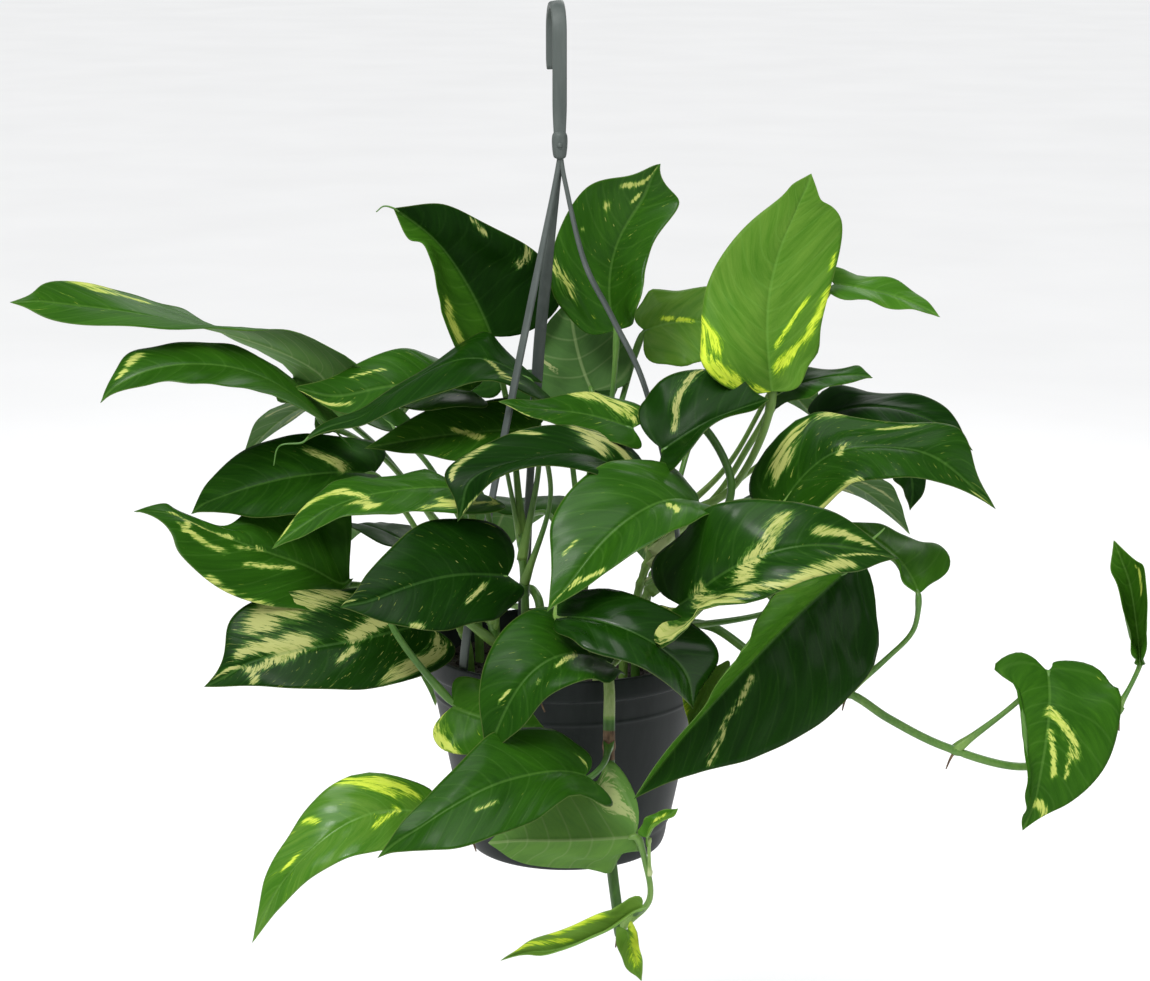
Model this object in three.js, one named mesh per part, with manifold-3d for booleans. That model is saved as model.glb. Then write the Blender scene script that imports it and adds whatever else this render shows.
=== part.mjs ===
// A golden pothos in a plastic hanging pot.
// Millimetres, +Z up. The origin is the middle of the pot's flat base, the front is towards -Y.
//
// The made pieces are the pot, its filling of soil and the moulded hanger that hooks over a
// hanger's rod and clips into the pot's wall. The grown pieces are the leafy stems: each one is a
// stem rooted in a plain hole in the soil, with its leaf stalks and its heart-shaped blades.

import * as THREE from 'three';
import { mergeVertices } from 'three/addons/utils/BufferGeometryUtils.js';
import Module from 'manifold-3d';

const wasm = await Module();
wasm.setup();

// ---------------------------------------------------------------- driving dimensions
const CLEARANCE = 0.3;            // air left between pieces that touch

const POT_HEIGHT = 110;
const POT_RIM_RADIUS = 75;        // outside of the rim's lip
const POT_WALL_TOP_RADIUS = 72.5; // outside of the wall, just under the rim band
const POT_WALL_LOW_RADIUS = 56;   // outside of the wall, just above the foot
const POT_FOOT_RADIUS = 53;
const POT_FOOT_HEIGHT = 15;
const POT_RIM_BAND = 12;
const POT_WALL = 1.6;
const POT_FLOOR = 2.4;
const POT_SIDES = 36;
const POT_LIP = 0.8;              // how far the rim's edges are rounded back
const DRAIN_HOLES = 6;
const DRAIN_RADIUS = 4;
const DRAIN_CIRCLE = 36;

const SOIL_TOP = 97;
const SOIL_LUMP = 1.2;            // how high the soil's lumps stand
const SOIL_SIDES = 26;
const HOLE_DEPTH = 24;            // how deep a stem stands in the soil

const HANGER_COLLAR_Z = 368;      // underside of the collar where the arms part
const HANGER_COLLAR_HEIGHT = 13;
const HANGER_TOP = 446;           // highest point of the hook
const COLLAR_AT = [-3, -2];       // the collar hangs a little off the pot's axis
const COLLAR_RADIUS = 4.1;
const HOOK_BAND_WIDTH = 7.4;
const HOOK_BAND_THICK = 3.6;
const HOOK_BEVEL = 0.7;
const HOOK_INNER_RADIUS = 12.4;
const HOOK_TIP_Z = 410;
const HOOK_TURN = 7;              // degrees that the hook's plane is turned from front to back
const ARM_THICK = 2.2;
const ARM_NECK = 2.6;             // an arm's width where it leaves the collar
const ARM_STRAP = 5.8;            // and where it lies flat against the pot
const ARM_FOOT_Z = 88;            // lower end of each arm, inside the pot's wall
const FOOT_GAP = 1.2;             // between an arm's flat foot and the round wall
const CLIP_Z = 93;                // the catch that goes through the wall under the rim's lip
const CLIP_HEIGHT = 4;
const CLIP_WIDTH = 5;
const CLIP_REACH = 1.4;           // how far the catch shows outside the wall

const BLADE_THICK = 0.8;
const BLADE_RIPPLE = 1.5;         // height of the waves along a blade's margin
const BLADE_RIPPLES = 13;         // radians of wave from a blade's stalk to its tip
const STALK_SIDES = 4;
const STALK_RADIUS = 1.5;
const STEM_SIDES = 5;
const STEM_RADIUS = 2.6;

// ---------------------------------------------------------------- solids and booleans
function solidOf(geometry) {
  const bare = geometry.clone();
  bare.deleteAttribute('normal');
  bare.deleteAttribute('uv');
  const merged = mergeVertices(bare, 1e-4);
  const solid = new wasm.Manifold(new wasm.Mesh({
    numProp: 3,
    vertProperties: Float32Array.from(merged.attributes.position.array),
    triVerts: Uint32Array.from(merged.index.array),
  }));
  return solid;
}

function geometryOf(solid) {
  const mesh = solid.getMesh();
  const geometry = new THREE.BufferGeometry();
  geometry.setAttribute('position', new THREE.BufferAttribute(new Float32Array(mesh.vertProperties), 3));
  geometry.setIndex(new THREE.BufferAttribute(new Uint32Array(mesh.triVerts), 1));
  geometry.computeVertexNormals();
  return geometry;
}

// Joins solids into one body. Hollows that the join seals are filled, and loose scraps dropped.
function joined(solids) {
  const bodies = solids.reduce((whole, next) => whole.add(next)).decompose();
  return bodies.reduce((largest, body) => (body.volume() > largest.volume() ? body : largest));
}

const point = (xyz) => new THREE.Vector3(xyz[0], xyz[1], xyz[2]);
const radians = THREE.MathUtils.degToRad;

function uprightCylinder(radius, bottom, top, x, y, sides) {
  const geometry = new THREE.CylinderGeometry(radius, radius, top - bottom, sides);
  geometry.rotateX(Math.PI / 2);
  geometry.translate(x, y, (top + bottom) / 2);
  return solidOf(geometry);
}

// A rod of even thickness along a smooth curve through the given points.
function rod(points, radius, sides, steps) {
  const section = new THREE.Shape();
  for (let k = 0; k < sides; k += 1) {
    const angle = (2 * Math.PI * k) / sides;
    const corner = [radius * Math.cos(angle), radius * Math.sin(angle)];
    if (k === 0) section.moveTo(...corner);
    else section.lineTo(...corner);
  }
  section.closePath();
  const route = new THREE.CatmullRomCurve3(points.map(point), false, 'centripetal');
  return solidOf(new THREE.ExtrudeGeometry(section, { steps, extrudePath: route, curveSegments: 1 }));
}

// ---------------------------------------------------------------- the pot
const wallSlope = (POT_WALL_TOP_RADIUS - POT_WALL_LOW_RADIUS) / (POT_HEIGHT - POT_RIM_BAND - POT_FOOT_HEIGHT);

function wallRadius(z) {
  return POT_WALL_LOW_RADIUS + (z - POT_FOOT_HEIGHT) * wallSlope;
}

function innerRadius(z) {
  return z < POT_FOOT_HEIGHT
    ? POT_FOOT_RADIUS - POT_WALL
    : wallRadius(z) - POT_WALL;
}

function turned(profile, sides) {
  const geometry = new THREE.LatheGeometry(profile.map(([r, z]) => new THREE.Vector2(r, z)), sides);
  geometry.rotateX(Math.PI / 2);
  return solidOf(geometry);
}

function potSolid(arms) {
  const bandFoot = POT_HEIGHT - POT_RIM_BAND;
  const profile = [
    [0, 0],
    [POT_FOOT_RADIUS - 6, 0],
    [POT_FOOT_RADIUS - 2, 1.5],
    [POT_FOOT_RADIUS, 5],
    [POT_FOOT_RADIUS + 1, POT_FOOT_HEIGHT - 2],
    [POT_WALL_LOW_RADIUS, POT_FOOT_HEIGHT],
    [POT_WALL_TOP_RADIUS, bandFoot],
    [POT_RIM_RADIUS - POT_LIP, bandFoot + POT_LIP],
    [POT_RIM_RADIUS, bandFoot + POT_RIM_BAND * 0.6],
    [POT_RIM_RADIUS, POT_HEIGHT - POT_LIP],
    [POT_RIM_RADIUS - POT_LIP, POT_HEIGHT],
    [innerRadius(POT_HEIGHT), POT_HEIGHT],
    [innerRadius(POT_FOOT_HEIGHT + 1), POT_FOOT_HEIGHT + 1],
    [POT_FOOT_RADIUS - POT_WALL - 0.5, POT_FLOOR + 4],
    [POT_FOOT_RADIUS - POT_WALL - 6, POT_FLOOR],
    [0, POT_FLOOR],
  ];
  let pot = turned(profile, POT_SIDES);
  for (let k = 0; k < DRAIN_HOLES; k += 1) {
    const angle = (2 * Math.PI * (k + 0.5)) / DRAIN_HOLES;
    const hole = uprightCylinder(DRAIN_RADIUS, -1, POT_FLOOR + 1,
      DRAIN_CIRCLE * Math.cos(angle), DRAIN_CIRCLE * Math.sin(angle), 8);
    pot = pot.subtract(hole);
  }
  for (const arm of arms) pot = pot.subtract(clipSolid(arm, CLEARANCE));
  return pot;
}

// ---------------------------------------------------------------- the soil
function soilHeight(x, y) {
  const lumps = Math.sin(x * 0.21 + 1.3) * Math.cos(y * 0.17) + 0.6 * Math.sin(x * 0.09 - y * 0.13);
  return SOIL_TOP + SOIL_LUMP * lumps;
}

function soilSolid(roots, arms) {
  const floor = POT_FLOOR + CLEARANCE;
  const edgeTop = SOIL_TOP - 1;
  const side = (z) => innerRadius(z) - 2.3 * CLEARANCE;
  const profile = [
    [0, floor],
    [POT_FOOT_RADIUS - POT_WALL - 7, floor],
    [POT_FOOT_RADIUS - POT_WALL - 1.3, floor + 4.5],
    [side(POT_FOOT_HEIGHT + 2), POT_FOOT_HEIGHT + 2],
    [side(edgeTop), edgeTop],
    [50, SOIL_TOP],
    [25, SOIL_TOP],
    [0, SOIL_TOP],
  ];
  const geometry = new THREE.LatheGeometry(profile.map(([r, z]) => new THREE.Vector2(r, z)), SOIL_SIDES);
  geometry.rotateX(Math.PI / 2);
  const place = geometry.attributes.position;
  for (let i = 0; i < place.count; i += 1) {
    if (place.getZ(i) > SOIL_TOP - 0.5) place.setZ(i, soilHeight(place.getX(i), place.getY(i)));
  }
  let soil = solidOf(geometry);
  for (const [x, y] of roots) {
    const foot = SOIL_TOP - HOLE_DEPTH - CLEARANCE;
    soil = soil.subtract(uprightCylinder(STEM_RADIUS + 2 * CLEARANCE, foot, SOIL_TOP + 10, x, y, 8));
  }
  for (const arm of arms) {
    soil = soil.subtract(armSolid(arm, 1.7 * CLEARANCE)).subtract(clipSolid(arm, CLEARANCE));
  }
  return joined([soil]);
}

// ---------------------------------------------------------------- the hanger
// Each arm lies in an upright plane through the collar. Its route is a list of [reach, height].
const arms = [
  { turn: -138, route: [[0, 372], [3, 355], [33, 248], [50, 185], [63, 135]], waist: 4.6 },
  { turn: -15, route: [[0, 372], [3, 354], [13, 314], [28, 285], [45, 250], [60, 190], [67, 135]], waist: 5.4 },
  { turn: 110, route: [[0, 372], [3, 354], [20, 315], [36, 271], [43, 243], [56, 190], [66, 135]], waist: 6.4 },
];

const facetShare = Math.cos(Math.PI / POT_SIDES); // how far in a flat of the turned pot lies

function footReach(z) {
  return innerRadius(z) * facetShare - FOOT_GAP - ARM_THICK / 2;
}

// An arm starts under the collar and ends at its own catch, so its plane runs between the two.
function armPlane(arm) {
  const out = footReach(ARM_FOOT_Z);
  const x = out * Math.cos(radians(arm.turn)) - COLLAR_AT[0];
  const y = out * Math.sin(radians(arm.turn)) - COLLAR_AT[1];
  return { turn: Math.atan2(y, x), reach: Math.hypot(x, y) };
}

// The side view of an arm: a ribbon of even thickness that ends straight along the pot's wall.
function armSideShape(arm, grow) {
  const end = armPlane(arm).reach;
  const lean = footReach(POT_HEIGHT) - footReach(ARM_FOOT_Z);
  const points = arm.route.map(([reach, z]) => new THREE.Vector2(reach, z));
  points.push(new THREE.Vector2(end + lean, POT_HEIGHT));
  points.push(new THREE.Vector2(end + lean / 2, (POT_HEIGHT + ARM_FOOT_Z) / 2));
  points.push(new THREE.Vector2(end, ARM_FOOT_Z - grow));
  const route = new THREE.SplineCurve(points).getPoints(16);
  const half = ARM_THICK / 2 + grow;
  const left = [];
  const right = [];
  for (let i = 0; i < route.length; i += 1) {
    const before = route[Math.max(i - 1, 0)];
    const after = route[Math.min(i + 1, route.length - 1)];
    const along = after.clone().sub(before).normalize();
    left.push([route[i].x - along.y * half, route[i].y + along.x * half]);
    right.push([route[i].x + along.y * half, route[i].y - along.x * half]);
  }
  return left.concat(right.reverse());
}

// The front view of an arm: thin at the collar, widest over the plant, a plain strap at the foot.
function armFrontShape(arm, grow) {
  const widths = [[375, ARM_NECK], [350, ARM_NECK], [300, arm.waist], [250, arm.waist],
    [190, 4.2], [130, ARM_STRAP], [70, ARM_STRAP]];
  const left = widths.map(([z, width]) => [-width / 2 - grow, z]);
  const right = widths.map(([z, width]) => [width / 2 + grow, z]);
  return left.concat(right.reverse());
}

function slab(outline, thickness) {
  const shape = new THREE.Shape(outline.map(([x, y]) => new THREE.Vector2(x, y)));
  const geometry = new THREE.ExtrudeGeometry(shape, { depth: thickness, bevelEnabled: false, steps: 1 });
  geometry.translate(0, 0, -thickness / 2);
  geometry.rotateX(Math.PI / 2);
  return geometry;
}

function armSolid(arm, grow) {
  const side = slab(armSideShape(arm, grow), 20);
  const front = slab(armFrontShape(arm, grow), 400);
  front.rotateZ(Math.PI / 2);
  for (const geometry of [side, front]) {
    geometry.rotateZ(armPlane(arm).turn);
    geometry.translate(...COLLAR_AT, 0);
  }
  return solidOf(side).intersect(solidOf(front));
}

// The catch at an arm's foot: a short bar through a slot in the pot's wall.
function clipSolid(arm, grow) {
  const from = footReach(CLIP_Z) - ARM_THICK * 0.2;
  const to = wallRadius(CLIP_Z) + CLIP_REACH;
  const geometry = new THREE.BoxGeometry(to - from + 2 * grow, CLIP_WIDTH + 2 * grow, CLIP_HEIGHT + 2 * grow);
  geometry.translate((from + to) / 2, 0, CLIP_Z);
  geometry.rotateZ(radians(arm.turn));
  return solidOf(geometry);
}

function hookSolid() {
  const half = HOOK_BAND_THICK / 2;
  const radius = HOOK_INNER_RADIUS + half;
  const crown = HANGER_TOP - HOOK_BAND_THICK - HOOK_INNER_RADIUS;
  const outline = new THREE.Shape();
  outline.moveTo(-half, HANGER_COLLAR_Z + 4);
  outline.lineTo(half, HANGER_COLLAR_Z + 4);
  outline.lineTo(half, crown);
  outline.absarc(radius, crown, radius - half, Math.PI, 0, true);
  outline.lineTo(2 * radius - half, HOOK_TIP_Z + 1.2);
  outline.lineTo(2 * radius - half + 1, HOOK_TIP_Z);
  outline.lineTo(2 * radius + half - 1, HOOK_TIP_Z);
  outline.lineTo(2 * radius + half, HOOK_TIP_Z + 1.2);
  outline.lineTo(2 * radius + half, crown);
  outline.absarc(radius, crown, radius + half, 0, Math.PI, false);
  outline.lineTo(-half, HANGER_COLLAR_Z + 4);
  const depth = HOOK_BAND_WIDTH - 2 * HOOK_BEVEL;
  const geometry = new THREE.ExtrudeGeometry(outline, {
    depth,
    bevelEnabled: true,
    bevelThickness: HOOK_BEVEL,
    bevelSize: HOOK_BEVEL,
    bevelOffset: -HOOK_BEVEL,
    bevelSegments: 1,
    curveSegments: 8,
  });
  geometry.translate(0, 0, -depth / 2);
  geometry.rotateX(Math.PI / 2);
  geometry.rotateZ(radians(90 + HOOK_TURN));
  geometry.translate(...COLLAR_AT, 0);
  return solidOf(geometry);
}

function collarSolid() {
  const collar = new THREE.CylinderGeometry(COLLAR_RADIUS, COLLAR_RADIUS - 0.7, HANGER_COLLAR_HEIGHT, 12);
  collar.rotateX(Math.PI / 2);
  collar.translate(...COLLAR_AT, HANGER_COLLAR_Z + HANGER_COLLAR_HEIGHT / 2);
  return solidOf(collar);
}

function hangerSolid() {
  const solids = [hookSolid(), collarSolid()];
  for (const arm of arms) {
    solids.push(armSolid(arm, 0));
    solids.push(clipSolid(arm, 0));
  }
  return joined(solids);
}

// ---------------------------------------------------------------- leaf blades
// A midrib runs from the stalk through one or two points to the tip as one smooth curve.
function midribCurve(leaf) {
  const through = [leaf.base, ...leaf.mid, leaf.tip].map(point);
  if (through.length === 3) {
    const pull = through[1].clone().multiplyScalar(2)
      .addScaledVector(through[0], -0.5)
      .addScaledVector(through[2], -0.5);
    return new THREE.QuadraticBezierCurve3(through[0], pull, through[2]);
  }
  const [a, b, c, d] = through;
  const first = new THREE.Vector3()
    .addScaledVector(a, -5 / 6).addScaledVector(b, 3).addScaledVector(c, -3 / 2).addScaledVector(d, 1 / 3);
  const second = new THREE.Vector3()
    .addScaledVector(a, 1 / 3).addScaledVector(b, -3 / 2).addScaledVector(c, 3).addScaledVector(d, -5 / 6);
  return new THREE.CubicBezierCurve3(a, first, second, d);
}

const FRAME_STEPS = 24;

// The blade's frame at each step of its midrib: place, way on, way the upper face looks, right side.
function midribFrames(leaf) {
  const curve = midribCurve(leaf);
  const frames = [];
  for (let i = 0; i <= FRAME_STEPS; i += 1) {
    frames.push({ at: curve.getPoint(i / FRAME_STEPS), along: curve.getTangent(i / FRAME_STEPS) });
  }
  const middle = FRAME_STEPS / 2;
  const level = (vector, along) => vector.clone().addScaledVector(along, -vector.dot(along)).normalize();
  frames[middle].up = level(point(leaf.face), frames[middle].along);
  for (let i = middle + 1; i <= FRAME_STEPS; i += 1) frames[i].up = level(frames[i - 1].up, frames[i].along);
  for (let i = middle - 1; i >= 0; i -= 1) frames[i].up = level(frames[i + 1].up, frames[i].along);
  frames.forEach((frame, i) => {
    const turn = radians(leaf.twist ?? 0) * (i / FRAME_STEPS - 0.5);
    frame.up.applyAxisAngle(frame.along, turn);
    frame.right = frame.along.clone().cross(frame.up);
  });
  return frames;
}

function frameAt(frames, u) {
  const step = THREE.MathUtils.clamp(u, 0, 1) * FRAME_STEPS;
  const low = Math.min(Math.floor(step), FRAME_STEPS - 1);
  const part = step - low;
  const mix = (key) => frames[low][key].clone().lerp(frames[low + 1][key], part);
  const frame = {
    at: mix('at'),
    along: mix('along').normalize(),
    up: mix('up').normalize(),
    right: mix('right').normalize(),
  };
  const length = frames[0].at.distanceTo(frames[FRAME_STEPS].at);
  if (u < 0) frame.at.addScaledVector(frame.along, u * length);
  return frame;
}

// The heart-shaped outline, as stations from the notch at the stalk round a lobe to the tip.
// Each has its place on the midrib, its place along the margin, and the half width there.
const LOBE = 0.12;
const SHOULDER = 0.3;
const BACK_ROWS = 3;
const FRONT_ROWS = 4;

function outlineStations() {
  const stations = [];
  for (let k = 1; k <= BACK_ROWS; k += 1) {
    const p = k / BACK_ROWS;
    stations.push({
      rib: 0.1 * p * p,
      margin: SHOULDER * p ** 3 - LOBE * Math.sin(Math.PI * p),
      half: Math.sin((Math.PI / 2) * p),
    });
  }
  for (let k = 1; k < FRONT_ROWS; k += 1) {
    const r = k / FRONT_ROWS;
    stations.push({
      rib: 0.1 + 0.9 * r,
      margin: SHOULDER + (1 - SHOULDER) * r,
      half: Math.cos((Math.PI / 2) * r ** 1.25),
    });
  }
  return stations;
}

const ACROSS = [-1, -0.5, 0, 0.5, 1];

// A point of the blade: u along the midrib, and a signed share of the half width across.
function bladePoint(leaf, frames, station, across, lift) {
  const share = Math.abs(across);
  const u = station.rib + (station.margin - station.rib) * share ** 1.3;
  const frame = frameAt(frames, u);
  const side = across < 0 ? 0 : 1;
  const fold = radians(leaf.fold[side]);
  const bend = radians(leaf.curl[side]) / (leaf.width / 2);
  const reach = share * station.half * (leaf.width / 2);
  const angle = fold + bend * reach;
  let out = reach * Math.cos(fold);
  let rise = reach * Math.sin(fold);
  if (Math.abs(bend) > 1e-5) {
    out = (Math.sin(angle) - Math.sin(fold)) / bend;
    rise = (Math.cos(fold) - Math.cos(angle)) / bend;
  }
  const phase = u * BLADE_RIPPLES + leaf.width + 2 * side;
  const ripple = BLADE_RIPPLE * Math.sin(phase) * share * share * station.half;
  const way = Math.sign(across);
  const facing = across === 0 ? 0 : angle;
  const normal = frame.up.clone().multiplyScalar(Math.cos(facing))
    .addScaledVector(frame.right, -way * Math.sin(facing));
  return frame.at
    .addScaledVector(frame.right, way * out)
    .addScaledVector(frame.up, rise + ripple)
    .addScaledVector(normal, lift);
}

// Both faces share one triangle pattern, so that a waved blade keeps its thickness everywhere.
function bladeSolid(leaf) {
  const frames = midribFrames(leaf);
  const stations = outlineStations();
  const columns = ACROSS.length;
  const vertices = [];
  const tipStation = { rib: 1, margin: 1, half: 0 };
  const notchStation = { rib: 0, margin: 0, half: 0 };
  const perFace = stations.length * columns + 2;
  for (const lift of [BLADE_THICK / 2, -BLADE_THICK / 2]) {
    vertices.push(bladePoint(leaf, frames, notchStation, 0, lift));
    for (const station of stations) {
      for (const across of ACROSS) vertices.push(bladePoint(leaf, frames, station, across, lift));
    }
    vertices.push(bladePoint(leaf, frames, tipStation, 0, lift));
  }
  const cell = (row, column) => 1 + row * columns + column;
  const notch = 0;
  const tip = perFace - 1;
  const lastRow = stations.length - 1;
  const upper = [];
  for (let column = 0; column < columns - 1; column += 1) {
    upper.push([notch, cell(0, column + 1), cell(0, column)]);
    upper.push([tip, cell(lastRow, column), cell(lastRow, column + 1)]);
    for (let row = 0; row < lastRow; row += 1) {
      const a = cell(row, column);
      const b = cell(row, column + 1);
      const c = cell(row + 1, column + 1);
      const d = cell(row + 1, column);
      if (column < (columns - 1) / 2) upper.push([a, b, c], [a, c, d]);
      else upper.push([a, b, d], [b, c, d]);
    }
  }
  const edge = [notch];
  for (let row = 0; row <= lastRow; row += 1) edge.push(cell(row, columns - 1));
  edge.push(tip);
  for (let row = lastRow; row >= 0; row -= 1) edge.push(cell(row, 0));
  const triangles = [];
  for (const [a, b, c] of upper) {
    triangles.push(a, b, c);
    triangles.push(a + perFace, c + perFace, b + perFace);
  }
  edge.forEach((a, i) => {
    const b = edge[(i + 1) % edge.length];
    triangles.push(a, a + perFace, b + perFace);
    triangles.push(a, b + perFace, b);
  });
  return shellSolid(vertices, triangles);
}

function shellSolid(vertices, triangles) {
  const geometry = new THREE.BufferGeometry().setFromPoints(vertices);
  geometry.setIndex(triangles);
  let solid = solidOf(geometry);
  if (solid.volume() < 0) {
    geometry.setIndex(triangles.toReversed());
    solid = solidOf(geometry);
  }
  return solid;
}

// A stalk leaves the stem, swings up to the blade and runs a little way on under its midrib.
function stalkSolid(leaf) {
  const frames = midribFrames(leaf);
  const start = frames[0];
  const onward = frameAt(frames, 0.05);
  const meet = start.at.clone().addScaledVector(start.up, -STALK_RADIUS * 0.55);
  const under = onward.at.clone().addScaledVector(onward.up, -STALK_RADIUS * 0.45);
  const points = [leaf.from, ...(leaf.bend ?? []), meet.toArray(), under.toArray()];
  return rod(points, STALK_RADIUS, STALK_SIDES, 1 + points.length);
}

// ---------------------------------------------------------------- leafy stems
function leaf(settings) {
  const both = (value) => (Array.isArray(value) ? value : [value, value]);
  return {
    ...settings,
    mid: Array.isArray(settings.mid[0]) ? settings.mid : [settings.mid],
    fold: both(settings.fold ?? 12),
    curl: both(settings.curl ?? -12),
  };
}

const vines = [
  {
    name: 'stem_far_left',
    root: [-46, 8],
    route: [[-48, 8, 125], [-62, 8, 165]],
    leaves: [
      leaf({ from: [-60, 8, 160], bend: [[-98, 26, 208]], base: [-130, 32, 237],
        mid: [[-150, 20, 263], [-222, -18, 291]], tip: [-284, -35, 299],
        face: [0, -0.2, 0.98], width: 62, fold: 10, curl: -8, twist: -80 }),
      leaf({ from: [-62, 8, 164], bend: [[-94, 14, 205], [-113, 2, 222]], base: [-123, -10, 230],
        mid: [-179, -34, 267], tip: [-233, -46, 246],
        face: [-0.05, -0.4, 0.9], width: 52, fold: [18, 6], curl: [-4, -20] }),
    ],
  },
  {
    name: 'stem_low_left',
    root: [-50, -22],
    route: [[-52, -24, 118], [-62, -26, 140]],
    leaves: [
      leaf({ from: [-60, -26, 136], bend: [[-86, -30, 146]], base: [-112, -38, 151],
        mid: [[-142, -48, 150], [-188, -58, 173]], tip: [-224, -50, 190],
        face: [-0.2, -0.6, 0.75], width: 62, fold: [32, 22], curl: [-6, -16] }),
      leaf({ from: [-62, -26, 139], bend: [[-80, -18, 180]], base: [-99, -20, 206],
        mid: [-147, -32, 205], tip: [-192, -28, 184],
        face: [-0.1, -0.55, 0.83], width: 58, fold: 10, curl: -20 }),
      leaf({ from: [-53, -24, 122], bend: [[-62, -36, 136]], base: [-72, -58, 136],
        mid: [-122, -82, 128], tip: [-181, -88, 111],
        face: [-0.1, -0.85, 0.5], width: 56, fold: 8, curl: -16 }),
    ],
  },
  {
    name: 'stem_front_left',
    root: [-33, -42],
    route: [[-34, -44, 118], [-38, -52, 136]],
    leaves: [
      leaf({ from: [-37, -50, 132], bend: [[-31, -62, 158]], base: [-29, -82, 166],
        mid: [-66, -108, 172], tip: [-108, -118, 157],
        face: [-0.05, -0.85, 0.5], width: 62, fold: 8, curl: -14 }),
      leaf({ from: [-35, -46, 122], bend: [[-66, -72, 128]], base: [-56, -90, 103],
        mid: [-34, -98, 97], tip: [-9, -96, 91],
        face: [-0.1, -0.9, 0.4], width: 34, fold: 12, curl: -16 }),
      leaf({ from: [-38, -52, 135], bend: [[-36, -56, 175]], base: [-44, -58, 206],
        mid: [-97, -76, 207], tip: [-146, -86, 182],
        face: [-0.05, -0.45, 0.9], width: 54, fold: [12, 4], curl: [-10, -30] }),
    ],
  },
  {
    name: 'stem_upper_left',
    root: [-22, 20],
    route: [[-22, 20, 130], [-24, 22, 165]],
    leaves: [
      leaf({ from: [-23, 21, 150], bend: [[-14, 18, 210]], base: [-18, 15, 248],
        mid: [-70, -13, 263], tip: [-133, -49, 229],
        face: [-0.1, -0.6, 0.8], width: 54, fold: [18, 0], curl: [-16, -24] }),
      leaf({ from: [-22, 20, 136], bend: [[-8, 10, 190]], base: [-16, 6, 224],
        mid: [-56, -6, 224], tip: [-104, -18, 219],
        face: [0, -0.6, 0.8], width: 42, fold: 12, curl: -14 }),
      leaf({ from: [-24, 22, 158], bend: [[-36, 22, 215]], base: [-50, 18, 242],
        mid: [-90, 6, 245], tip: [-128, -14, 243],
        face: [0, -0.5, 0.87], width: 38, fold: 10, curl: -12 }),
      leaf({ from: [-24, 22, 163], bend: [[-30, 34, 225]], base: [-40, 48, 266],
        mid: [-60, 42, 306], tip: [-90, 24, 338],
        face: [0.25, -0.95, 0.15], width: 80, fold: [30, 8], curl: [70, -16] }),
    ],
  },
  {
    name: 'stem_middle',
    root: [4, 26],
    route: [[4, 27, 130], [6, 32, 165]],
    leaves: [
      leaf({ from: [6, 31, 160], bend: [[22, 30, 220]], base: [26, 27, 273],
        mid: [27, 36, 316], tip: [54, 30, 354],
        face: [-0.1, -0.98, 0.15], width: 66, fold: [6, 24], curl: [-14, 10], twist: 20 }),
      leaf({ from: [5, 29, 150], bend: [[14, 44, 205]], base: [14, 46, 237],
        mid: [6, 58, 258], tip: [2, 66, 285],
        face: [0, 0.9, 0.4], width: 54, fold: 12, curl: -10 }),
      leaf({ from: [6, 31, 155], bend: [[28, 48, 225]], base: [42, 56, 268],
        mid: [75, 61, 272], tip: [114, 60, 259],
        face: [0, -0.75, 0.65], width: 56, fold: 10, curl: -12 }),
    ],
  },
  {
    name: 'stem_centre',
    root: [6, -14],
    route: [[7, -14, 125], [12, -18, 160]],
    leaves: [
      leaf({ from: [11, -17, 155], bend: [[28, -24, 205]], base: [34, -30, 232],
        mid: [0, -32, 243], tip: [-34, -32, 247],
        face: [0, -0.5, 0.87], width: 38, fold: 10, curl: -12 }),
      leaf({ from: [11, -18, 150], bend: [[30, -34, 190]], base: [36, -54, 208],
        mid: [-3, -76, 225], tip: [-50, -92, 197],
        face: [0.05, -0.6, 0.8], width: 50, fold: 12, curl: -18 }),
      leaf({ from: [12, -18, 157], bend: [[54, -42, 184]], base: [67, -64, 199],
        mid: [34, -99, 201], tip: [-12, -122, 154],
        face: [0.1, -0.65, 0.75], width: 56, fold: [36, 10], curl: -14 }),
    ],
  },
  {
    name: 'stem_right_tall',
    root: [36, 18],
    route: [[38, 18, 130], [50, 16, 170]],
    leaves: [
      leaf({ from: [48, 16, 165], bend: [[90, 4, 210]], base: [107, -5, 246],
        mid: [[105, 4, 283], [110, 10, 322]], tip: [124, 12, 358],
        face: [0.02, -0.97, 0.2], width: 70, fold: 8, curl: -12 }),
      leaf({ from: [50, 16, 168], bend: [[112, 22, 250]], base: [141, 20, 299],
        mid: [169, 18, 294], tip: [195, 10, 283],
        face: [0, -0.45, 0.88], width: 27, fold: 10, curl: -12 }),
      leaf({ from: [46, 17, 155], bend: [[88, 16, 210]], base: [112, 16, 241],
        mid: [136, 10, 252], tip: [160, 4, 252],
        face: [0, -0.4, 0.9], width: 36, fold: 12, curl: -12 }),
      leaf({ from: [44, 17, 148], bend: [[100, 22, 200]], base: [137, 26, 226],
        mid: [177, 14, 235], tip: [222, 0, 211],
        face: [0.1, -0.4, 0.9], width: 44, fold: 10, curl: -14 }),
      leaf({ from: [41, 18, 138], bend: [[108, 6, 170]], base: [172, 14, 210],
        mid: [182, 14, 198], tip: [182, 12, 179],
        face: [0.3, -0.8, 0.5], width: 22, fold: 12, curl: -10 }),
    ],
  },
  {
    name: 'stem_right',
    root: [30, -22],
    route: [[32, -24, 120], [44, -28, 148]],
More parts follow.
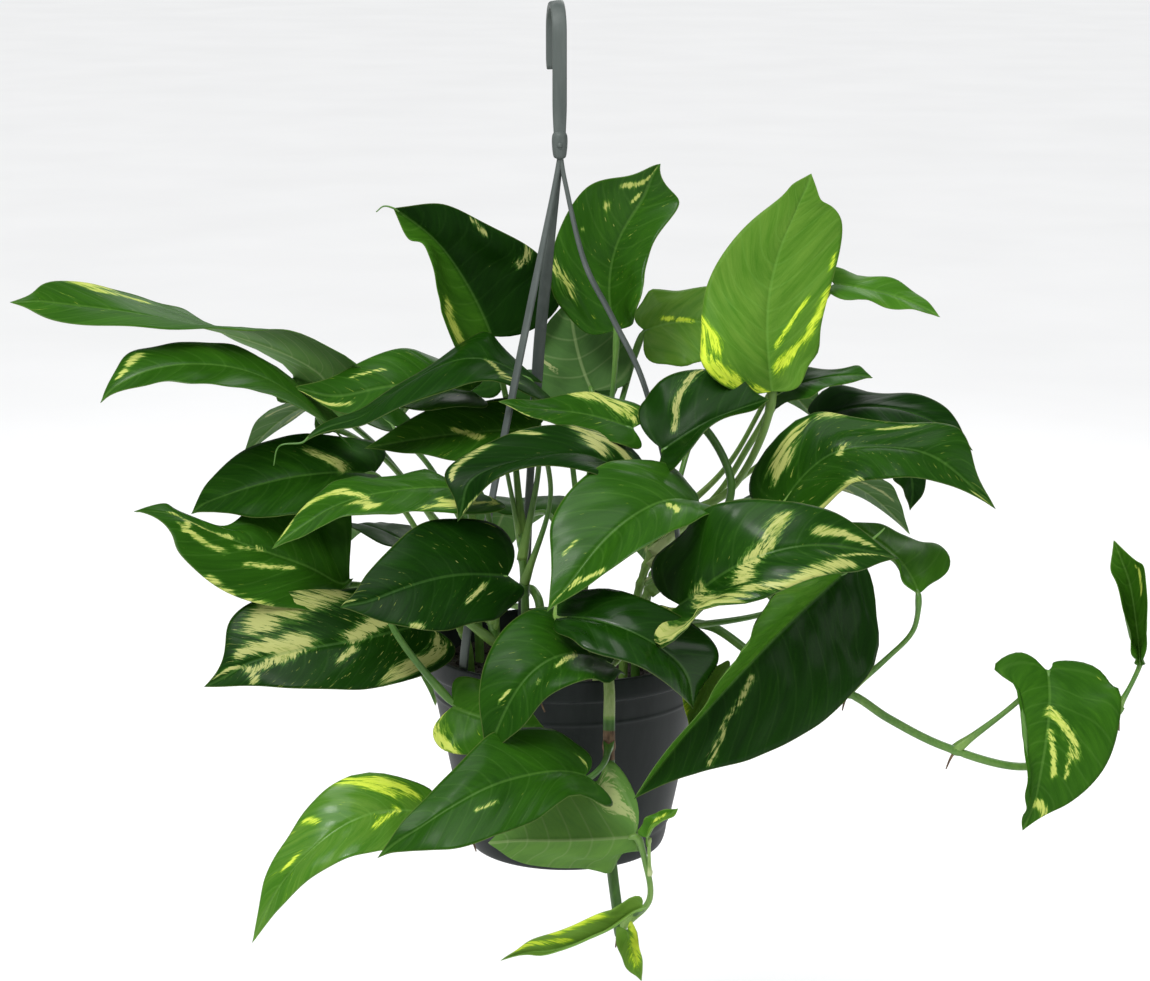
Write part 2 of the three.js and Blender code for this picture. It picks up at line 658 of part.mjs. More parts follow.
    leaves: [
      leaf({ from: [43, -28, 145], bend: [[62, -36, 185]], base: [56, -36, 213],
        mid: [77, -32, 234], tip: [107, -30, 232],
        face: [-0.1, -0.75, 0.65], width: 54, fold: 10, curl: -12 }),
      leaf({ from: [44, -28, 147], bend: [[84, -30, 172]], base: [112, -30, 193],
        mid: [158, -38, 227], tip: [216, -46, 194],
        face: [-0.1, -0.65, 0.75], width: 58, fold: [16, 22], curl: [-10, -30] }),
    ],
  },
  {
    name: 'stem_front_right',
    root: [36, -40],
    route: [[37, -42, 116], [46, -50, 130]],
    leaves: [
      leaf({ from: [45, -47, 128], bend: [[54, -72, 140]], base: [57, -98, 155],
        mid: [104, -122, 189], tip: [164, -98, 180],
        face: [-0.1, -0.8, 0.6], width: 60, fold: 10, curl: -16 }),
      leaf({ from: [46, -48, 129], bend: [[110, -42, 140], [140, -48, 164]], base: [144, -56, 164],
        mid: [104, -86, 116], tip: [34, -114, 61],
        face: [0.35, -0.85, 0.35], width: 80, fold: [8, 50], curl: [-14, 30] }),
    ],
  },
  {
    name: 'stem_trailing_right',
    root: [57, 4],
    route: [[59, 3, 118], [76, -4, 120], [98, -16, 108], [122, -30, 95], [148, -32, 91],
      [168, -36, 79], [197, -40, 65], [239, -40, 54], [268, -36, 62], [290, -34, 85]],
    leaves: [
      leaf({ from: [146, -32, 91], bend: [[168, -18, 106], [182, -18, 122]], base: [184, -20, 142],
        mid: [172, 8, 158], tip: [150, 32, 168],
        face: [0.3, -0.7, 0.65], width: 46, fold: 10, curl: -10 }),
      leaf({ from: [203, -40, 63], bend: [[234, -42, 90]], base: [249, -44, 107],
        mid: [255, -64, 76], tip: [237, -60, 26],
        face: [0.1, -0.9, 0.4], width: 66, fold: 8, curl: -14 }),
      leaf({ from: [288, -34, 83], base: [299, -30, 106],
        mid: [293, -34, 142], tip: [282, -34, 174],
        face: [-0.2, -0.95, 0.1], width: 38, fold: [30, 30], curl: [60, 60] }),
    ],
  },
  {
    name: 'stem_hanging_front',
    root: [16, -54],
    route: [[17, -57, 117], [20, -72, 121], [22, -84, 111], [22, -90, 92], [22, -92, 60],
      [23, -95, 25], [28, -106, -14]],
    leaves: [
      leaf({ from: [20, -70, 121], bend: [[30, -86, 130]], base: [23, -99, 126],
        mid: [-12, -127, 133], tip: [-39, -134, 87],
        face: [-0.1, -0.8, 0.6], width: 58, fold: 10, curl: -16 }),
      leaf({ from: [17, -60, 119], bend: [[0, -84, 160]], base: [-4, -112, 154],
        mid: [38, -130, 148], tip: [62, -118, 109],
        face: [0.2, -0.75, 0.6], width: 54, fold: 10, curl: -16 }),
      leaf({ from: [22, -92, 82], bend: [[19, -110, 78]], base: [11, -126, 76],
        mid: [-41, -156, 80], tip: [-93, -168, 47],
        face: [-0.1, -0.75, 0.65], width: 56, fold: 10, curl: -14 }),
      leaf({ from: [28, -105, -10], bend: [[42, -114, 8], [40, -116, 28]], base: [35, -117, 42],
        mid: [-3, -121, 41], tip: [-39, -112, 37],
        face: [0, 0.85, -0.5], width: 68, fold: [6, 34], curl: [4, 14] }),
      leaf({ from: [42, -116, 22], base: [41, -123, 43],
        mid: [48, -125, 51], tip: [56, -123, 59],
        face: [-0.4, -0.8, 0.5], width: 16, fold: 16, curl: 10 }),
      leaf({ from: [27, -104, -8], bend: [[36, -112, 0]], base: [38, -126, 8],
        mid: [7, -136, 2], tip: [-31, -140, -16],
        face: [0.1, -0.5, 0.85], width: 20, fold: 50, curl: 14 }),
      leaf({ from: [28, -106, -13], base: [31, -114, -8],
        mid: [34, -120, -18], tip: [38, -122, -32],
        face: [-0.3, -0.9, 0.3], width: 15, fold: 30, curl: 20 }),
    ],
  },
  {
    name: 'stem_low_front_left',
    root: [-12, -56],
    route: [[-13, -59, 116], [-20, -72, 120], [-28, -82, 108], [-36, -84, 80], [-44, -86, 50], [-50, -92, 34]],
    leaves: [
      leaf({ from: [-49, -90, 36], bend: [[-60, -102, 40]], base: [-70, -110, 52],
        mid: [-113, -136, 51], tip: [-154, -142, -4],
        face: [-0.2, -0.75, 0.6], width: 46, fold: 10, curl: -16 }),
    ],
  },
  {
    name: 'stem_curled_front',
    root: [50, -27],
    route: [[51, -29, 112], [58, -42, 119]],
    leaves: [
      leaf({ from: [57, -41, 118], bend: [[70, -62, 124]], base: [75, -76, 118],
        mid: [70, -84, 106], tip: [62, -92, 92],
        face: [-0.3, -0.9, 0.3], width: 24, fold: 24, curl: 40 }),
    ],
  },
  {
    name: 'stem_back_left',
    root: [-38, 38],
    route: [[-40, 40, 125], [-50, 50, 155]],
    leaves: [
      leaf({ from: [-49, 49, 150], bend: [[-76, 60, 195]], base: [-96, 70, 214],
        mid: [-138, 92, 222], tip: [-182, 108, 186],
        face: [-0.25, 0.3, 0.9], width: 60, fold: 10, curl: -16 }),
      leaf({ from: [-50, 50, 154], bend: [[-58, 76, 210]], base: [-62, 98, 228],
        mid: [-76, 142, 236], tip: [-96, 180, 196],
        face: [-0.15, 0.45, 0.88], width: 62, fold: 10, curl: -14 }),
      leaf({ from: [-44, 44, 136], bend: [[-72, 58, 150]], base: [-92, 68, 150],
        mid: [-128, 96, 148], tip: [-152, 124, 106],
        face: [-0.45, 0.6, 0.65], width: 56, fold: 10, curl: -14 }),
    ],
  },
  {
    name: 'stem_back',
    root: [6, 52],
    route: [[6, 55, 125], [8, 64, 155]],
    leaves: [
      leaf({ from: [8, 63, 150], bend: [[2, 82, 200]], base: [-2, 104, 218],
        mid: [4, 148, 228], tip: [16, 188, 190],
        face: [0, 0.45, 0.88], width: 64, fold: 10, curl: -14 }),
      leaf({ from: [7, 58, 135], bend: [[-10, 78, 162]], base: [-20, 92, 160],
        mid: [-34, 130, 154], tip: [-48, 154, 106],
        face: [-0.2, 0.75, 0.6], width: 58, fold: 10, curl: -14 }),
      leaf({ from: [7, 60, 142], bend: [[24, 80, 158]], base: [34, 96, 150],
        mid: [50, 128, 142], tip: [60, 148, 96],
        face: [0.2, 0.75, 0.6], width: 54, fold: 10, curl: -14 }),
    ],
  },
  {
    name: 'stem_back_right',
    root: [42, 38],
    route: [[44, 40, 125], [54, 48, 155]],
    leaves: [
      leaf({ from: [53, 47, 151], bend: [[66, 64, 200]], base: [76, 82, 222],
        mid: [108, 116, 232], tip: [144, 142, 200],
        face: [0.2, 0.45, 0.87], width: 64, fold: 10, curl: -14 }),
      leaf({ from: [52, 46, 145], bend: [[86, 54, 172]], base: [112, 62, 176],
        mid: [152, 82, 180], tip: [192, 96, 146],
        face: [0.3, 0.4, 0.87], width: 60, fold: 10, curl: -14 }),
      leaf({ from: [48, 43, 136], bend: [[72, 62, 138]], base: [88, 76, 130],
        mid: [114, 106, 124], tip: [128, 132, 80],
        face: [0.45, 0.6, 0.65], width: 56, fold: 10, curl: -14 }),
    ],
  },
  {
    name: 'stem_trailing_back',
    root: [-14, 56],
    route: [[-15, 59, 117], [-20, 72, 121], [-24, 86, 108], [-22, 90, 70], [-14, 94, 30], [-4, 104, -8]],
    leaves: [
      leaf({ from: [-24, 86, 106], bend: [[-34, 98, 104]], base: [-44, 106, 96],
        mid: [-66, 124, 80], tip: [-76, 130, 36],
        face: [-0.4, 0.8, 0.45], width: 50, fold: 10, curl: -14 }),
      leaf({ from: [-18, 92, 50], bend: [[-2, 104, 60]], base: [12, 112, 56],
        mid: [38, 128, 46], tip: [54, 132, 4],
        face: [0.2, 0.85, 0.5], width: 48, fold: 10, curl: -14 }),
      leaf({ from: [-5, 103, -5], base: [-12, 110, -8],
        mid: [-26, 120, -18], tip: [-36, 122, -36],
        face: [-0.2, 0.85, 0.5], width: 26, fold: 14, curl: -10 }),
    ],
  },
];

function vineSolid(vine) {
  const [x, y] = vine.root;
  const foot = SOIL_TOP - HOLE_DEPTH;
  const route = [[x, y, foot], [x, y, foot + 12], [x, y, SOIL_TOP + 4], ...vine.route];
  const solids = [rod(route, STEM_RADIUS, STEM_SIDES, Math.round(1.5 * route.length))];
  for (const blade of vine.leaves) {
    solids.push(stalkSolid(blade));
    solids.push(bladeSolid(blade));
  }
  return joined(solids);
}

// ---------------------------------------------------------------- the assembly
function piece(name, solid, material) {
  const mesh = new THREE.Mesh(geometryOf(solid), material);
  mesh.name = name;
  return mesh;
}

const potPlastic = new THREE.MeshStandardMaterial({ color: 0x3b3e44, roughness: 0.55, metalness: 0 });
const hangerPlastic = new THREE.MeshStandardMaterial({ color: 0x4c4f55, roughness: 0.5, metalness: 0 });
const pottingSoil = new THREE.MeshStandardMaterial({ color: 0x1c1210, roughness: 1, metalness: 0 });
const leafGreen = new THREE.MeshStandardMaterial({ color: 0x2f6a1e, roughness: 0.4, metalness: 0 });

const pothos = new THREE.Group();
pothos.name = 'potted_pothos';

const holder = new THREE.Group();
holder.add(piece('pot', potSolid(arms), potPlastic));
holder.add(piece('hanger', hangerSolid(), hangerPlastic));
pothos.add(holder);

const planting = new THREE.Group();
planting.add(piece('soil', soilSolid(vines.map((vine) => vine.root), arms), pottingSoil));
for (const vine of vines) planting.add(piece(vine.name, vineSolid(vine), leafGreen));
pothos.add(planting);

export default pothos;
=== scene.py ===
# %% [markdown]
# # A golden pothos in a hanging pot
# A pothos is a climbing houseplant. In a hanging pot its soft stems arch out of the soil and trail
# over the rim, each with a row of heart-shaped leaves on long stalks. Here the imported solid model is
# the frame: it says where every stem, leaf and arm of the hanger is. This lesson builds the fine
# surface round it in mesh code, so that each leaf gets a midrib, waved margins and its own markings.

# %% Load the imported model
import math
import random

import bpy
import numpy as np
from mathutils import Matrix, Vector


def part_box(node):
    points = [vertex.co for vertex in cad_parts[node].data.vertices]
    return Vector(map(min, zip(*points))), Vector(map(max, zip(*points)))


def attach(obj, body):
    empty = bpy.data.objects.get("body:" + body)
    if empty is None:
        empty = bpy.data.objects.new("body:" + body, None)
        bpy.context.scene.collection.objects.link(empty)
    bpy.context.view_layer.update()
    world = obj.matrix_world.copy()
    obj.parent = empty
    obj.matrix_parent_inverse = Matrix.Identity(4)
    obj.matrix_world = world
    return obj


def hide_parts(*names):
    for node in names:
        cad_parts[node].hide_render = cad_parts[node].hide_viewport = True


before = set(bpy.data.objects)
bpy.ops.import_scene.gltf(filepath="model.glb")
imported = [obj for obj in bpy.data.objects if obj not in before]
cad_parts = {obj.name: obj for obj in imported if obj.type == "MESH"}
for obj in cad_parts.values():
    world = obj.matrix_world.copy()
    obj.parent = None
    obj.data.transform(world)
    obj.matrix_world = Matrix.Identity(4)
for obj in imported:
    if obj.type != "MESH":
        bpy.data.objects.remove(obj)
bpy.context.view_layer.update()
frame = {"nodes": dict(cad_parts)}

MM = 0.001
print("nodes in the frame:", len(frame["nodes"]))

# %% [markdown]
# ## A camera, a floor and soft light
# The plant hangs, so the floor is well below it and its shadow falls softly. Large area lights stand
# in for a photographer's softboxes: a strong one high at the front left, a weaker one at the right to
# open the shadows, and one behind that lights the thin leaves' edges from the back. A camera with a long
# lens stands a metre and a half away and looks slightly down, which keeps the pot's sides upright.
# A wide ceiling light keeps the whole floor white, so the room itself can stay dim. That matters for
# the leaves: a bright room would be mirrored in their wax and veil the deep green.

# %% Camera
CAMERA_AT = (4.8 * MM, -1538 * MM, 536.4 * MM)
CAMERA_DOWN = 12.6        # degrees below the horizon
FOCAL_LENGTH = 94.1
SENSOR_WIDTH = 36

scene = bpy.context.scene
lens = bpy.data.cameras.new("studio_camera")
lens.lens = FOCAL_LENGTH
lens.sensor_fit = "HORIZONTAL"
lens.sensor_width = SENSOR_WIDTH
camera = bpy.data.objects.new("studio_camera", lens)
camera.location = CAMERA_AT
camera.rotation_euler = (math.radians(90 - CAMERA_DOWN), 0, 0)
scene.collection.objects.link(camera)
scene.camera = camera
scene.view_settings.view_transform = "Standard"
print("camera", round(math.dist(CAMERA_AT, (0, 0, 0.2)), 2), "m from the plant")

# %% Lights
def softbox(name, place, aim, size, power):
    lamp = bpy.data.lights.new(name, "AREA")
    lamp.shape = "SQUARE"
    lamp.size = size
    lamp.energy = power
    box = bpy.data.objects.new(name, lamp)
    box.location = place
    away = np.array(place) - np.array(aim)
    flat = math.hypot(away[0], away[1])
    box.rotation_euler = (math.atan2(flat, away[2]), 0, math.atan2(away[1], away[0]) + math.pi / 2)
    scene.collection.objects.link(box)


CROWN = (0, 0, 0.2)
softbox("key_softbox", (-0.9, -1.5, 2.0), CROWN, 0.7, 26)
softbox("fill_softbox", (1.6, -1.5, 1.0), CROWN, 1.0, 7)
softbox("back_softbox", (0.5, 1.6, 1.4), CROWN, 1.2, 12)

ceiling = bpy.data.lights.new("ceiling_light", "SUN")
ceiling.energy = 2.3
ceiling.angle = math.radians(50)
ceiling_light = bpy.data.objects.new("ceiling_light", ceiling)
ceiling_light.rotation_euler = (math.radians(24), math.radians(-14), 0)
scene.collection.objects.link(ceiling_light)

world = bpy.data.worlds.new("studio_air")
world.use_nodes = True
world.node_tree.nodes["Background"].inputs["Color"].default_value = (0.96, 0.98, 1.0, 1)
world.node_tree.nodes["Background"].inputs["Strength"].default_value = 0.32
scene.world = world
print("three softboxes, a ceiling light and a dim room")

# %% [markdown]
# ## Shader maths as plain expressions
# A leaf's colour is worked out from its place on the leaf, which takes many small nodes. Wrapping a
# node's socket in a class with overloaded operators lets the sums be written as they would be on
# paper. Every other node comes from one method, `node`, which takes the node's type, its settings and
# the values or links of its sockets.

# %% Wire and Paint
class Wire:
    """A socket of a material that can be added, multiplied and so on."""

    def __init__(self, paint, socket):
        self.paint = paint
        self.socket = socket

    def maths(self, operation, first, second=0.0):
        return self.paint.node("ShaderNodeMath", {"operation": operation}, {0: first, 1: second})

    def __add__(self, other):
        return self.maths("ADD", self, other)

    def __radd__(self, other):
        return self.maths("ADD", other, self)

    def __sub__(self, other):
        return self.maths("SUBTRACT", self, other)

    def __rsub__(self, other):
        return self.maths("SUBTRACT", other, self)

    def __mul__(self, other):
        return self.maths("MULTIPLY", self, other)

    def __rmul__(self, other):
        return self.maths("MULTIPLY", other, self)

    def size(self):
        return self.maths("ABSOLUTE", self)

    def larger(self, other):
        return self.maths("MAXIMUM", self, other)

    def to_nearest(self, spacing):
        """Distance to the nearest multiple of the spacing."""
        return self.maths("PINGPONG", self, spacing / 2)


class Paint:
    """A material. Its surface is one Principled shader, and node() adds any other node."""

    def __init__(self, name, **fixed):
        self.material = bpy.data.materials.new(name)
        self.material.use_nodes = True
        self.tree = self.material.node_tree
        self.shader = self.tree.nodes["Principled BSDF"]
        for socket, value in fixed.items():
            self.shader.inputs[socket.replace("_", " ")].default_value = value

    def node(self, kind, settings=None, inputs=None, output=0):
        made = self.tree.nodes.new(kind)
        for key, value in (settings or {}).items():
            if key == "stops":
                self.set_stops(made.color_ramp, value)
            else:
                setattr(made, key, value)
        for key, value in (inputs or {}).items():
            self.feed(made.inputs[key], value)
        return Wire(self, made.outputs[output])

    def feed(self, socket, value):
        if isinstance(value, Wire):
            self.tree.links.new(value.socket, socket)
        else:
            socket.default_value = value

    def set_stops(self, ramp, stops):
        while len(ramp.elements) < len(stops):
            ramp.elements.new(1.0)
        for element, (place, colour) in zip(ramp.elements, stops):
            element.position = place
            element.color = rgb(*colour)

    def surface(self, **wires):
        for socket, wire in wires.items():
            self.feed(self.shader.inputs[socket.replace("_", " ")], wire)

    def attribute(self, name):
        """The three numbers that a mesh carries under this name."""
        vector = self.node("ShaderNodeAttribute", {"attribute_name": name}, output="Vector")
        return [self.node("ShaderNodeSeparateXYZ", {}, {0: vector}, output=k) for k in range(3)]

    def place(self, x, y, z):
        return self.node("ShaderNodeCombineXYZ", {}, {0: x, 1: y, 2: z})

    def noise(self, place, scale=1.0, detail=2.0, roughness=0.5, distortion=0.0):
        return self.node("ShaderNodeTexNoise", {}, {"Vector": place, "Scale": scale, "Detail": detail,
                                                    "Roughness": roughness, "Distortion": distortion})

    def step(self, value, low, high):
        """0 below low, 1 above high, and a smooth rise between."""
        return self.node("ShaderNodeMapRange", {"interpolation_type": "SMOOTHSTEP"},
                         {0: value, 1: low, 2: high, 3: 0.0, 4: 1.0})

    def mix(self, share, under, over):
        return self.node("ShaderNodeMix", {"data_type": "RGBA"}, {0: share, 6: under, 7: over}, output=2)

    def ramp(self, value, *stops):
        return self.node("ShaderNodeValToRGB", {"stops": stops}, {0: value})

    def bump(self, height, depth, strength):
        return self.node("ShaderNodeBump", {}, {"Height": height, "Distance": depth, "Strength": strength})

    def object_place(self):
        return self.node("ShaderNodeTexCoord", output="Object")


def rgb(red, green, blue):
    return (red, green, blue, 1)


print("shader helpers ready")

# %% [markdown]
# ## The floor
# A wide pale sheet, some way below the pot. A little noise in its brightness keeps it from looking
# like bare computer white.

# %% Floor
FLOOR_Z = -0.26
FLOOR_HALF = 14.0


def floor_paint():
    paint = Paint("pale_floor", Roughness=0.9)
    grain = paint.noise(paint.object_place(), scale=3.0, detail=3.0)
    paint.surface(Base_Color=paint.ramp(grain, (0.3, (0.92, 0.92, 0.92)), (0.7, (0.95, 0.95, 0.95))))
    return paint.material


sheet = bpy.data.meshes.new("pale_floor")
corners = [(x * FLOOR_HALF, y * FLOOR_HALF, FLOOR_Z) for x, y in ((-1, -1), (1, -1), (1, 1), (-1, 1))]
sheet.from_pydata(corners, [], [(0, 1, 2, 3)])
floor = bpy.data.objects.new("pale_floor", sheet)
floor.data.materials.append(floor_paint())
scene.collection.objects.link(floor)
print("floor", 2 * FLOOR_HALF, "m wide")

# %% [markdown]
# ## Gathering a piece's surface
# A leafy stem is one grown thing with dozens of surfaces: a stem, stalks and blades. `Skin` gathers
# their points and faces, with up to three numbers for each point under a name, which the materials
# read as mesh attributes. That is how a shader knows how far along a leaf a point is.

# %% Skin
MARKS = ("leaf_place", "leaf_look", "leaf_side", "stalk_look")


class Skin:
    """Points, faces, material numbers and named marks of one piece, in millimetres."""

    def __init__(self):
        self.points = []
        self.faces = []
        self.materials = []
        self.marks = {name: [] for name in MARKS}
        self.count = 0

    def add(self, points, faces, material=0, **marks):
        points = np.asarray(points, float)
        self.points.append(points)
        self.faces.extend([tuple(int(k) + self.count for k in face) for face in faces])
        self.materials.extend([material] * len(faces))
        for name in MARKS:
            self.marks[name].append(marks.get(name, np.zeros((len(points), 3))))
        self.count += len(points)

    def build(self, name, materials):
        mesh = bpy.data.meshes.new(name)
        mesh.from_pydata((np.vstack(self.points) * MM).tolist(), [], self.faces)
        for material in materials:
            mesh.materials.append(material)
        mesh.polygons.foreach_set("material_index", self.materials)
        for mark, values in self.marks.items():
            values = np.vstack(values)
            if values.any():
                layer = mesh.attributes.new(mark, "FLOAT_VECTOR", "POINT")
                layer.data.foreach_set("vector", values.ravel())
        mesh.shade_smooth()
        mesh.update()
        piece = bpy.data.objects.new(name, mesh)
        scene.collection.objects.link(piece)
        return piece


def dress(piece, node):
    """The piece stands for a node of the frame, which is hidden, and rides on the root body."""
    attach(piece, "root")
    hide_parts(node)
    print(piece.name, "has", len(piece.data.polygons), "faces")


def grid_faces(rows, columns, closed=False):
    """Quads between the rows of a grid of points. A closed grid joins its last column to its first."""
    across = columns if closed else columns - 1
    faces = []
    for row in range(rows - 1):
        for column in range(across):
            right = (column + 1) % columns
            faces.append((row * columns + column, row * columns + right,
                          (row + 1) * columns + right, (row + 1) * columns + column))
    return faces


def smoothstep(low, high, value):
    share = np.clip((np.asarray(value, float) - low) / (high - low), 0, 1)
    return share * share * (3 - 2 * share)


print("mesh helpers ready")

# %% [markdown]
# ## The pot
# The pot is injection-moulded polypropylene: a thin tapered wall, a rolled rim band, a small step at
# the foot and drain holes in the floor. A profile turned about the upright axis gives all of it but
# the holes, so the pot is turned with many sides and then cut. Its sizes come from the frame's boxes.

# %% Turning a profile
ON_AXIS = 0.01            # the radius at which a profile starts and ends


def turned(profile, sides):
    """Points and faces of a closed body turned about the upright axis from a profile of (r, z)."""
    ring = np.linspace(0, 2 * math.pi, sides, endpoint=False)
    points = []
    faces = []
    rows = [(radius, height) for radius, height in profile if radius > 0]
    for radius, height in rows:
        points.extend((radius * math.cos(a), radius * math.sin(a), height) for a in ring)
    faces.extend(grid_faces(len(rows), sides, closed=True))
    first = len(points)
    points.append((0, 0, profile[0][1]))
    points.append((0, 0, profile[-1][1]))
    last_row = (len(rows) - 1) * sides
    for k in range(sides):
        right = (k + 1) % sides
        faces.append((first, right, k))
        faces.append((first + 1, last_row + k, last_row + right))
    return points, faces


def rounded(profile, cuts):
    """The same profile with each corner rounded by cutting it off as many times."""
    line = [np.array(point, float) for point in profile]
    for _ in range(cuts):
        finer = [line[0]]
        for a, b in zip(line, line[1:]):
            finer.append(a + 0.25 * (b - a))
            finer.append(a + 0.75 * (b - a))
        finer.append(line[-1])
        line = finer
    return [tuple(point) for point in line]


print("lathe ready")

# %% The pot's profile
POT_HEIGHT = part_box("pot")[1].z / MM
RIM_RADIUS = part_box("pot")[1].x / MM
RIM_BAND = 12
WALL_TOP = RIM_RADIUS - 2.5
WALL_LOW = RIM_RADIUS - 19
FOOT_RADIUS = RIM_RADIUS - 22
FOOT_HEIGHT = 15
POT_WALL = 1.6
POT_FLOOR = 2.4
BEAD = 0.45               # a fine raised line round the wall
BEAD_Z = 85.5
BAND_FOOT = POT_HEIGHT - RIM_BAND
WALL_SLOPE = (WALL_TOP - WALL_LOW) / (BAND_FOOT - FOOT_HEIGHT)


def wall_radius(z):
    return WALL_LOW + (z - FOOT_HEIGHT) * WALL_SLOPE


def pot_profile():
    """From the middle of the base up the outside, over the rim and down the inside."""
    outside = [(ON_AXIS, 0), (FOOT_RADIUS - 12, 0), (FOOT_RADIUS - 5, 0), (FOOT_RADIUS - 1.6, 1.2),
               (FOOT_RADIUS, 5), (FOOT_RADIUS + 0.8, 9), (FOOT_RADIUS + 1.2, FOOT_HEIGHT - 2.5),
               (FOOT_RADIUS + 2.6, FOOT_HEIGHT), (WALL_LOW + 0.4, FOOT_HEIGHT + 3)]
    for z in (30, 45, 60, 75, BEAD_Z - 1.5):
        outside.append((wall_radius(z), z))
    for z in (BEAD_Z - 0.5, BEAD_Z + 0.5):
        outside.append((wall_radius(z) + BEAD, z))
    outside += [(wall_radius(BEAD_Z + 1.5), BEAD_Z + 1.5), (wall_radius(92), 92),
                (WALL_TOP - 0.2, BAND_FOOT - 1.2)]
    rim = [(WALL_TOP + 0.2, BAND_FOOT - 0.1), (RIM_RADIUS - 0.9, BAND_FOOT + 0.3),
           (RIM_RADIUS - 0.2, BAND_FOOT + 1.5), (RIM_RADIUS, BAND_FOOT + 6), (RIM_RADIUS, POT_HEIGHT - 2),
           (RIM_RADIUS - 0.1, POT_HEIGHT - 0.1), (RIM_RADIUS - 1.5, POT_HEIGHT)]
    lip = wall_radius(POT_HEIGHT) - POT_WALL
    inside = [(lip + 0.4, POT_HEIGHT), (lip, POT_HEIGHT - 0.8), (lip - 0.3, POT_HEIGHT - 4)]
    for z in (90, 60, 30, FOOT_HEIGHT + 1):
        inside.append((wall_radius(z) - POT_WALL, z))
    inside += [(FOOT_RADIUS - POT_WALL - 0.5, POT_FLOOR + 4), (FOOT_RADIUS - POT_WALL - 6, POT_FLOOR),
               (ON_AXIS, POT_FLOOR)]
    return rounded(outside + rim + inside, 2)


print("pot", round(2 * RIM_RADIUS), "mm across the rim,", round(POT_HEIGHT), "mm high")

# %% [markdown]
# ### Matte moulded plastic
# Polypropylene straight from the mould is dark, slightly satin, and never even: the melt leaves faint
# upright flow marks, painted a little lighter so that they also stand for a painted upright sheen, the
# mould leaves a fine grain, and handling leaves a few dull smears of dust.

# %% Pot plastic
def plastic_paint(name, dark, light, dust, roughness):
    paint = Paint(name, Specular_IOR_Level=0.12)
    here = paint.object_place()
    upright = paint.node("ShaderNodeMapping", {}, {"Vector": here, "Scale": (1.0, 1.0, 0.12)})
    # Lighter and darker upright streaks: partly the melt's faint flow marks, partly a painted upright sheen.
    flow_and_sheen = paint.noise(upright, scale=90.0, detail=4.0, roughness=0.6)
    smear = paint.noise(here, scale=28.0, detail=5.0, roughness=0.65, distortion=0.6)
    grain = paint.noise(here, scale=2600.0, detail=2.0)
    base = paint.mix(paint.step(flow_and_sheen, 0.3, 0.7), dark, light)
    dusty = paint.step(smear, 0.56, 0.8)
    paint.surface(
        Base_Color=paint.mix(dusty * 0.35, base, dust),
        Roughness=roughness + 0.14 * dusty + 0.1 * (flow_and_sheen - 0.5),
        Normal=paint.bump(grain * 0.6 + flow_and_sheen * 0.4, 0.00012, 0.35),
    )
    return paint.material


pot_plastic = plastic_paint("pot_plastic", rgb(0.012, 0.0155, 0.015), rgb(0.018, 0.0225, 0.0215),
                            rgb(0.06, 0.065, 0.062), 0.46)
hanger_plastic = plastic_paint("hanger_plastic", rgb(0.070, 0.084, 0.078), rgb(0.110, 0.126, 0.118),
                               rgb(0.19, 0.2, 0.2), 0.4)
print("two moulded plastics")

# %% Turn and cut the pot
POT_SIDES = 168
DRAIN_HOLES = 6
DRAIN_RADIUS = 4
DRAIN_CIRCLE = 36
CLIP_TURNS = (-138, -15, 110)     # degrees round the pot, one catch of the hanger at each
CLIP_Z = 93
SLOT_HALF = (6, 2.8, 2.3)
BAR_SIDES = 28


def cut_away(piece, points, faces):
    """Cuts the closed body given by points and faces out of the piece."""
    skin = Skin()
    skin.add(points, faces)
    tool = skin.build("cutting_tool", [])
    cut = piece.modifiers.new("cut", "BOOLEAN")
    cut.operation = "DIFFERENCE"
    cut.solver = "EXACT"
    cut.object = tool
    with bpy.context.temp_override(object=piece, active_object=piece):
        bpy.ops.object.modifier_apply(modifier=cut.name)
    bpy.data.objects.remove(tool)


def round_bar(x, y, radius, low, high):
    profile = [(ON_AXIS, low), (radius, low), (radius, high), (ON_AXIS, high)]
    points, faces = turned(profile, BAR_SIDES)
    return np.array(points) + (x, y, 0), faces


def block(centre, half, turn):
    """A box, with its half sizes, turned about the upright axis."""
    corners = np.array([(x, y, z) for x in (-1, 1) for y in (-1, 1) for z in (-1, 1)], float) * half
    c, s = math.cos(turn), math.sin(turn)
    points = corners @ np.array([(c, s, 0), (-s, c, 0), (0, 0, 1)]) + centre
    faces = [(0, 1, 3, 2), (4, 6, 7, 5), (0, 4, 5, 1), (2, 3, 7, 6), (0, 2, 6, 4), (1, 5, 7, 3)]
    return points, faces


pot_skin = Skin()
pot_skin.add(*turned(pot_profile(), POT_SIDES))
pot = pot_skin.build("moulded_pot", [pot_plastic])
for k in range(DRAIN_HOLES):
    turn = 2 * math.pi * (k + 0.5) / DRAIN_HOLES
    cut_away(pot, *round_bar(DRAIN_CIRCLE * math.cos(turn), DRAIN_CIRCLE * math.sin(turn),
                             DRAIN_RADIUS, -2, POT_FLOOR + 2))
for degrees in CLIP_TURNS:
    turn = math.radians(degrees)
    out = wall_radius(CLIP_Z)
    cut_away(pot, *block((out * math.cos(turn), out * math.sin(turn), CLIP_Z), SLOT_HALF, turn))
dress(pot, "pot")

# %% [markdown]
# ## Curves and swept bodies
# Stems, stalks and the hanger's arms are all one idea: a section carried along a smooth curve. The
# curve goes through a few chosen points, and the section's frame is carried on from step to step so
# that it never twists. A centripetal spline is used because it makes no loops where points are close.

# %% A smooth route
SPLINE_STEPS = 24         # to each stretch between two knots


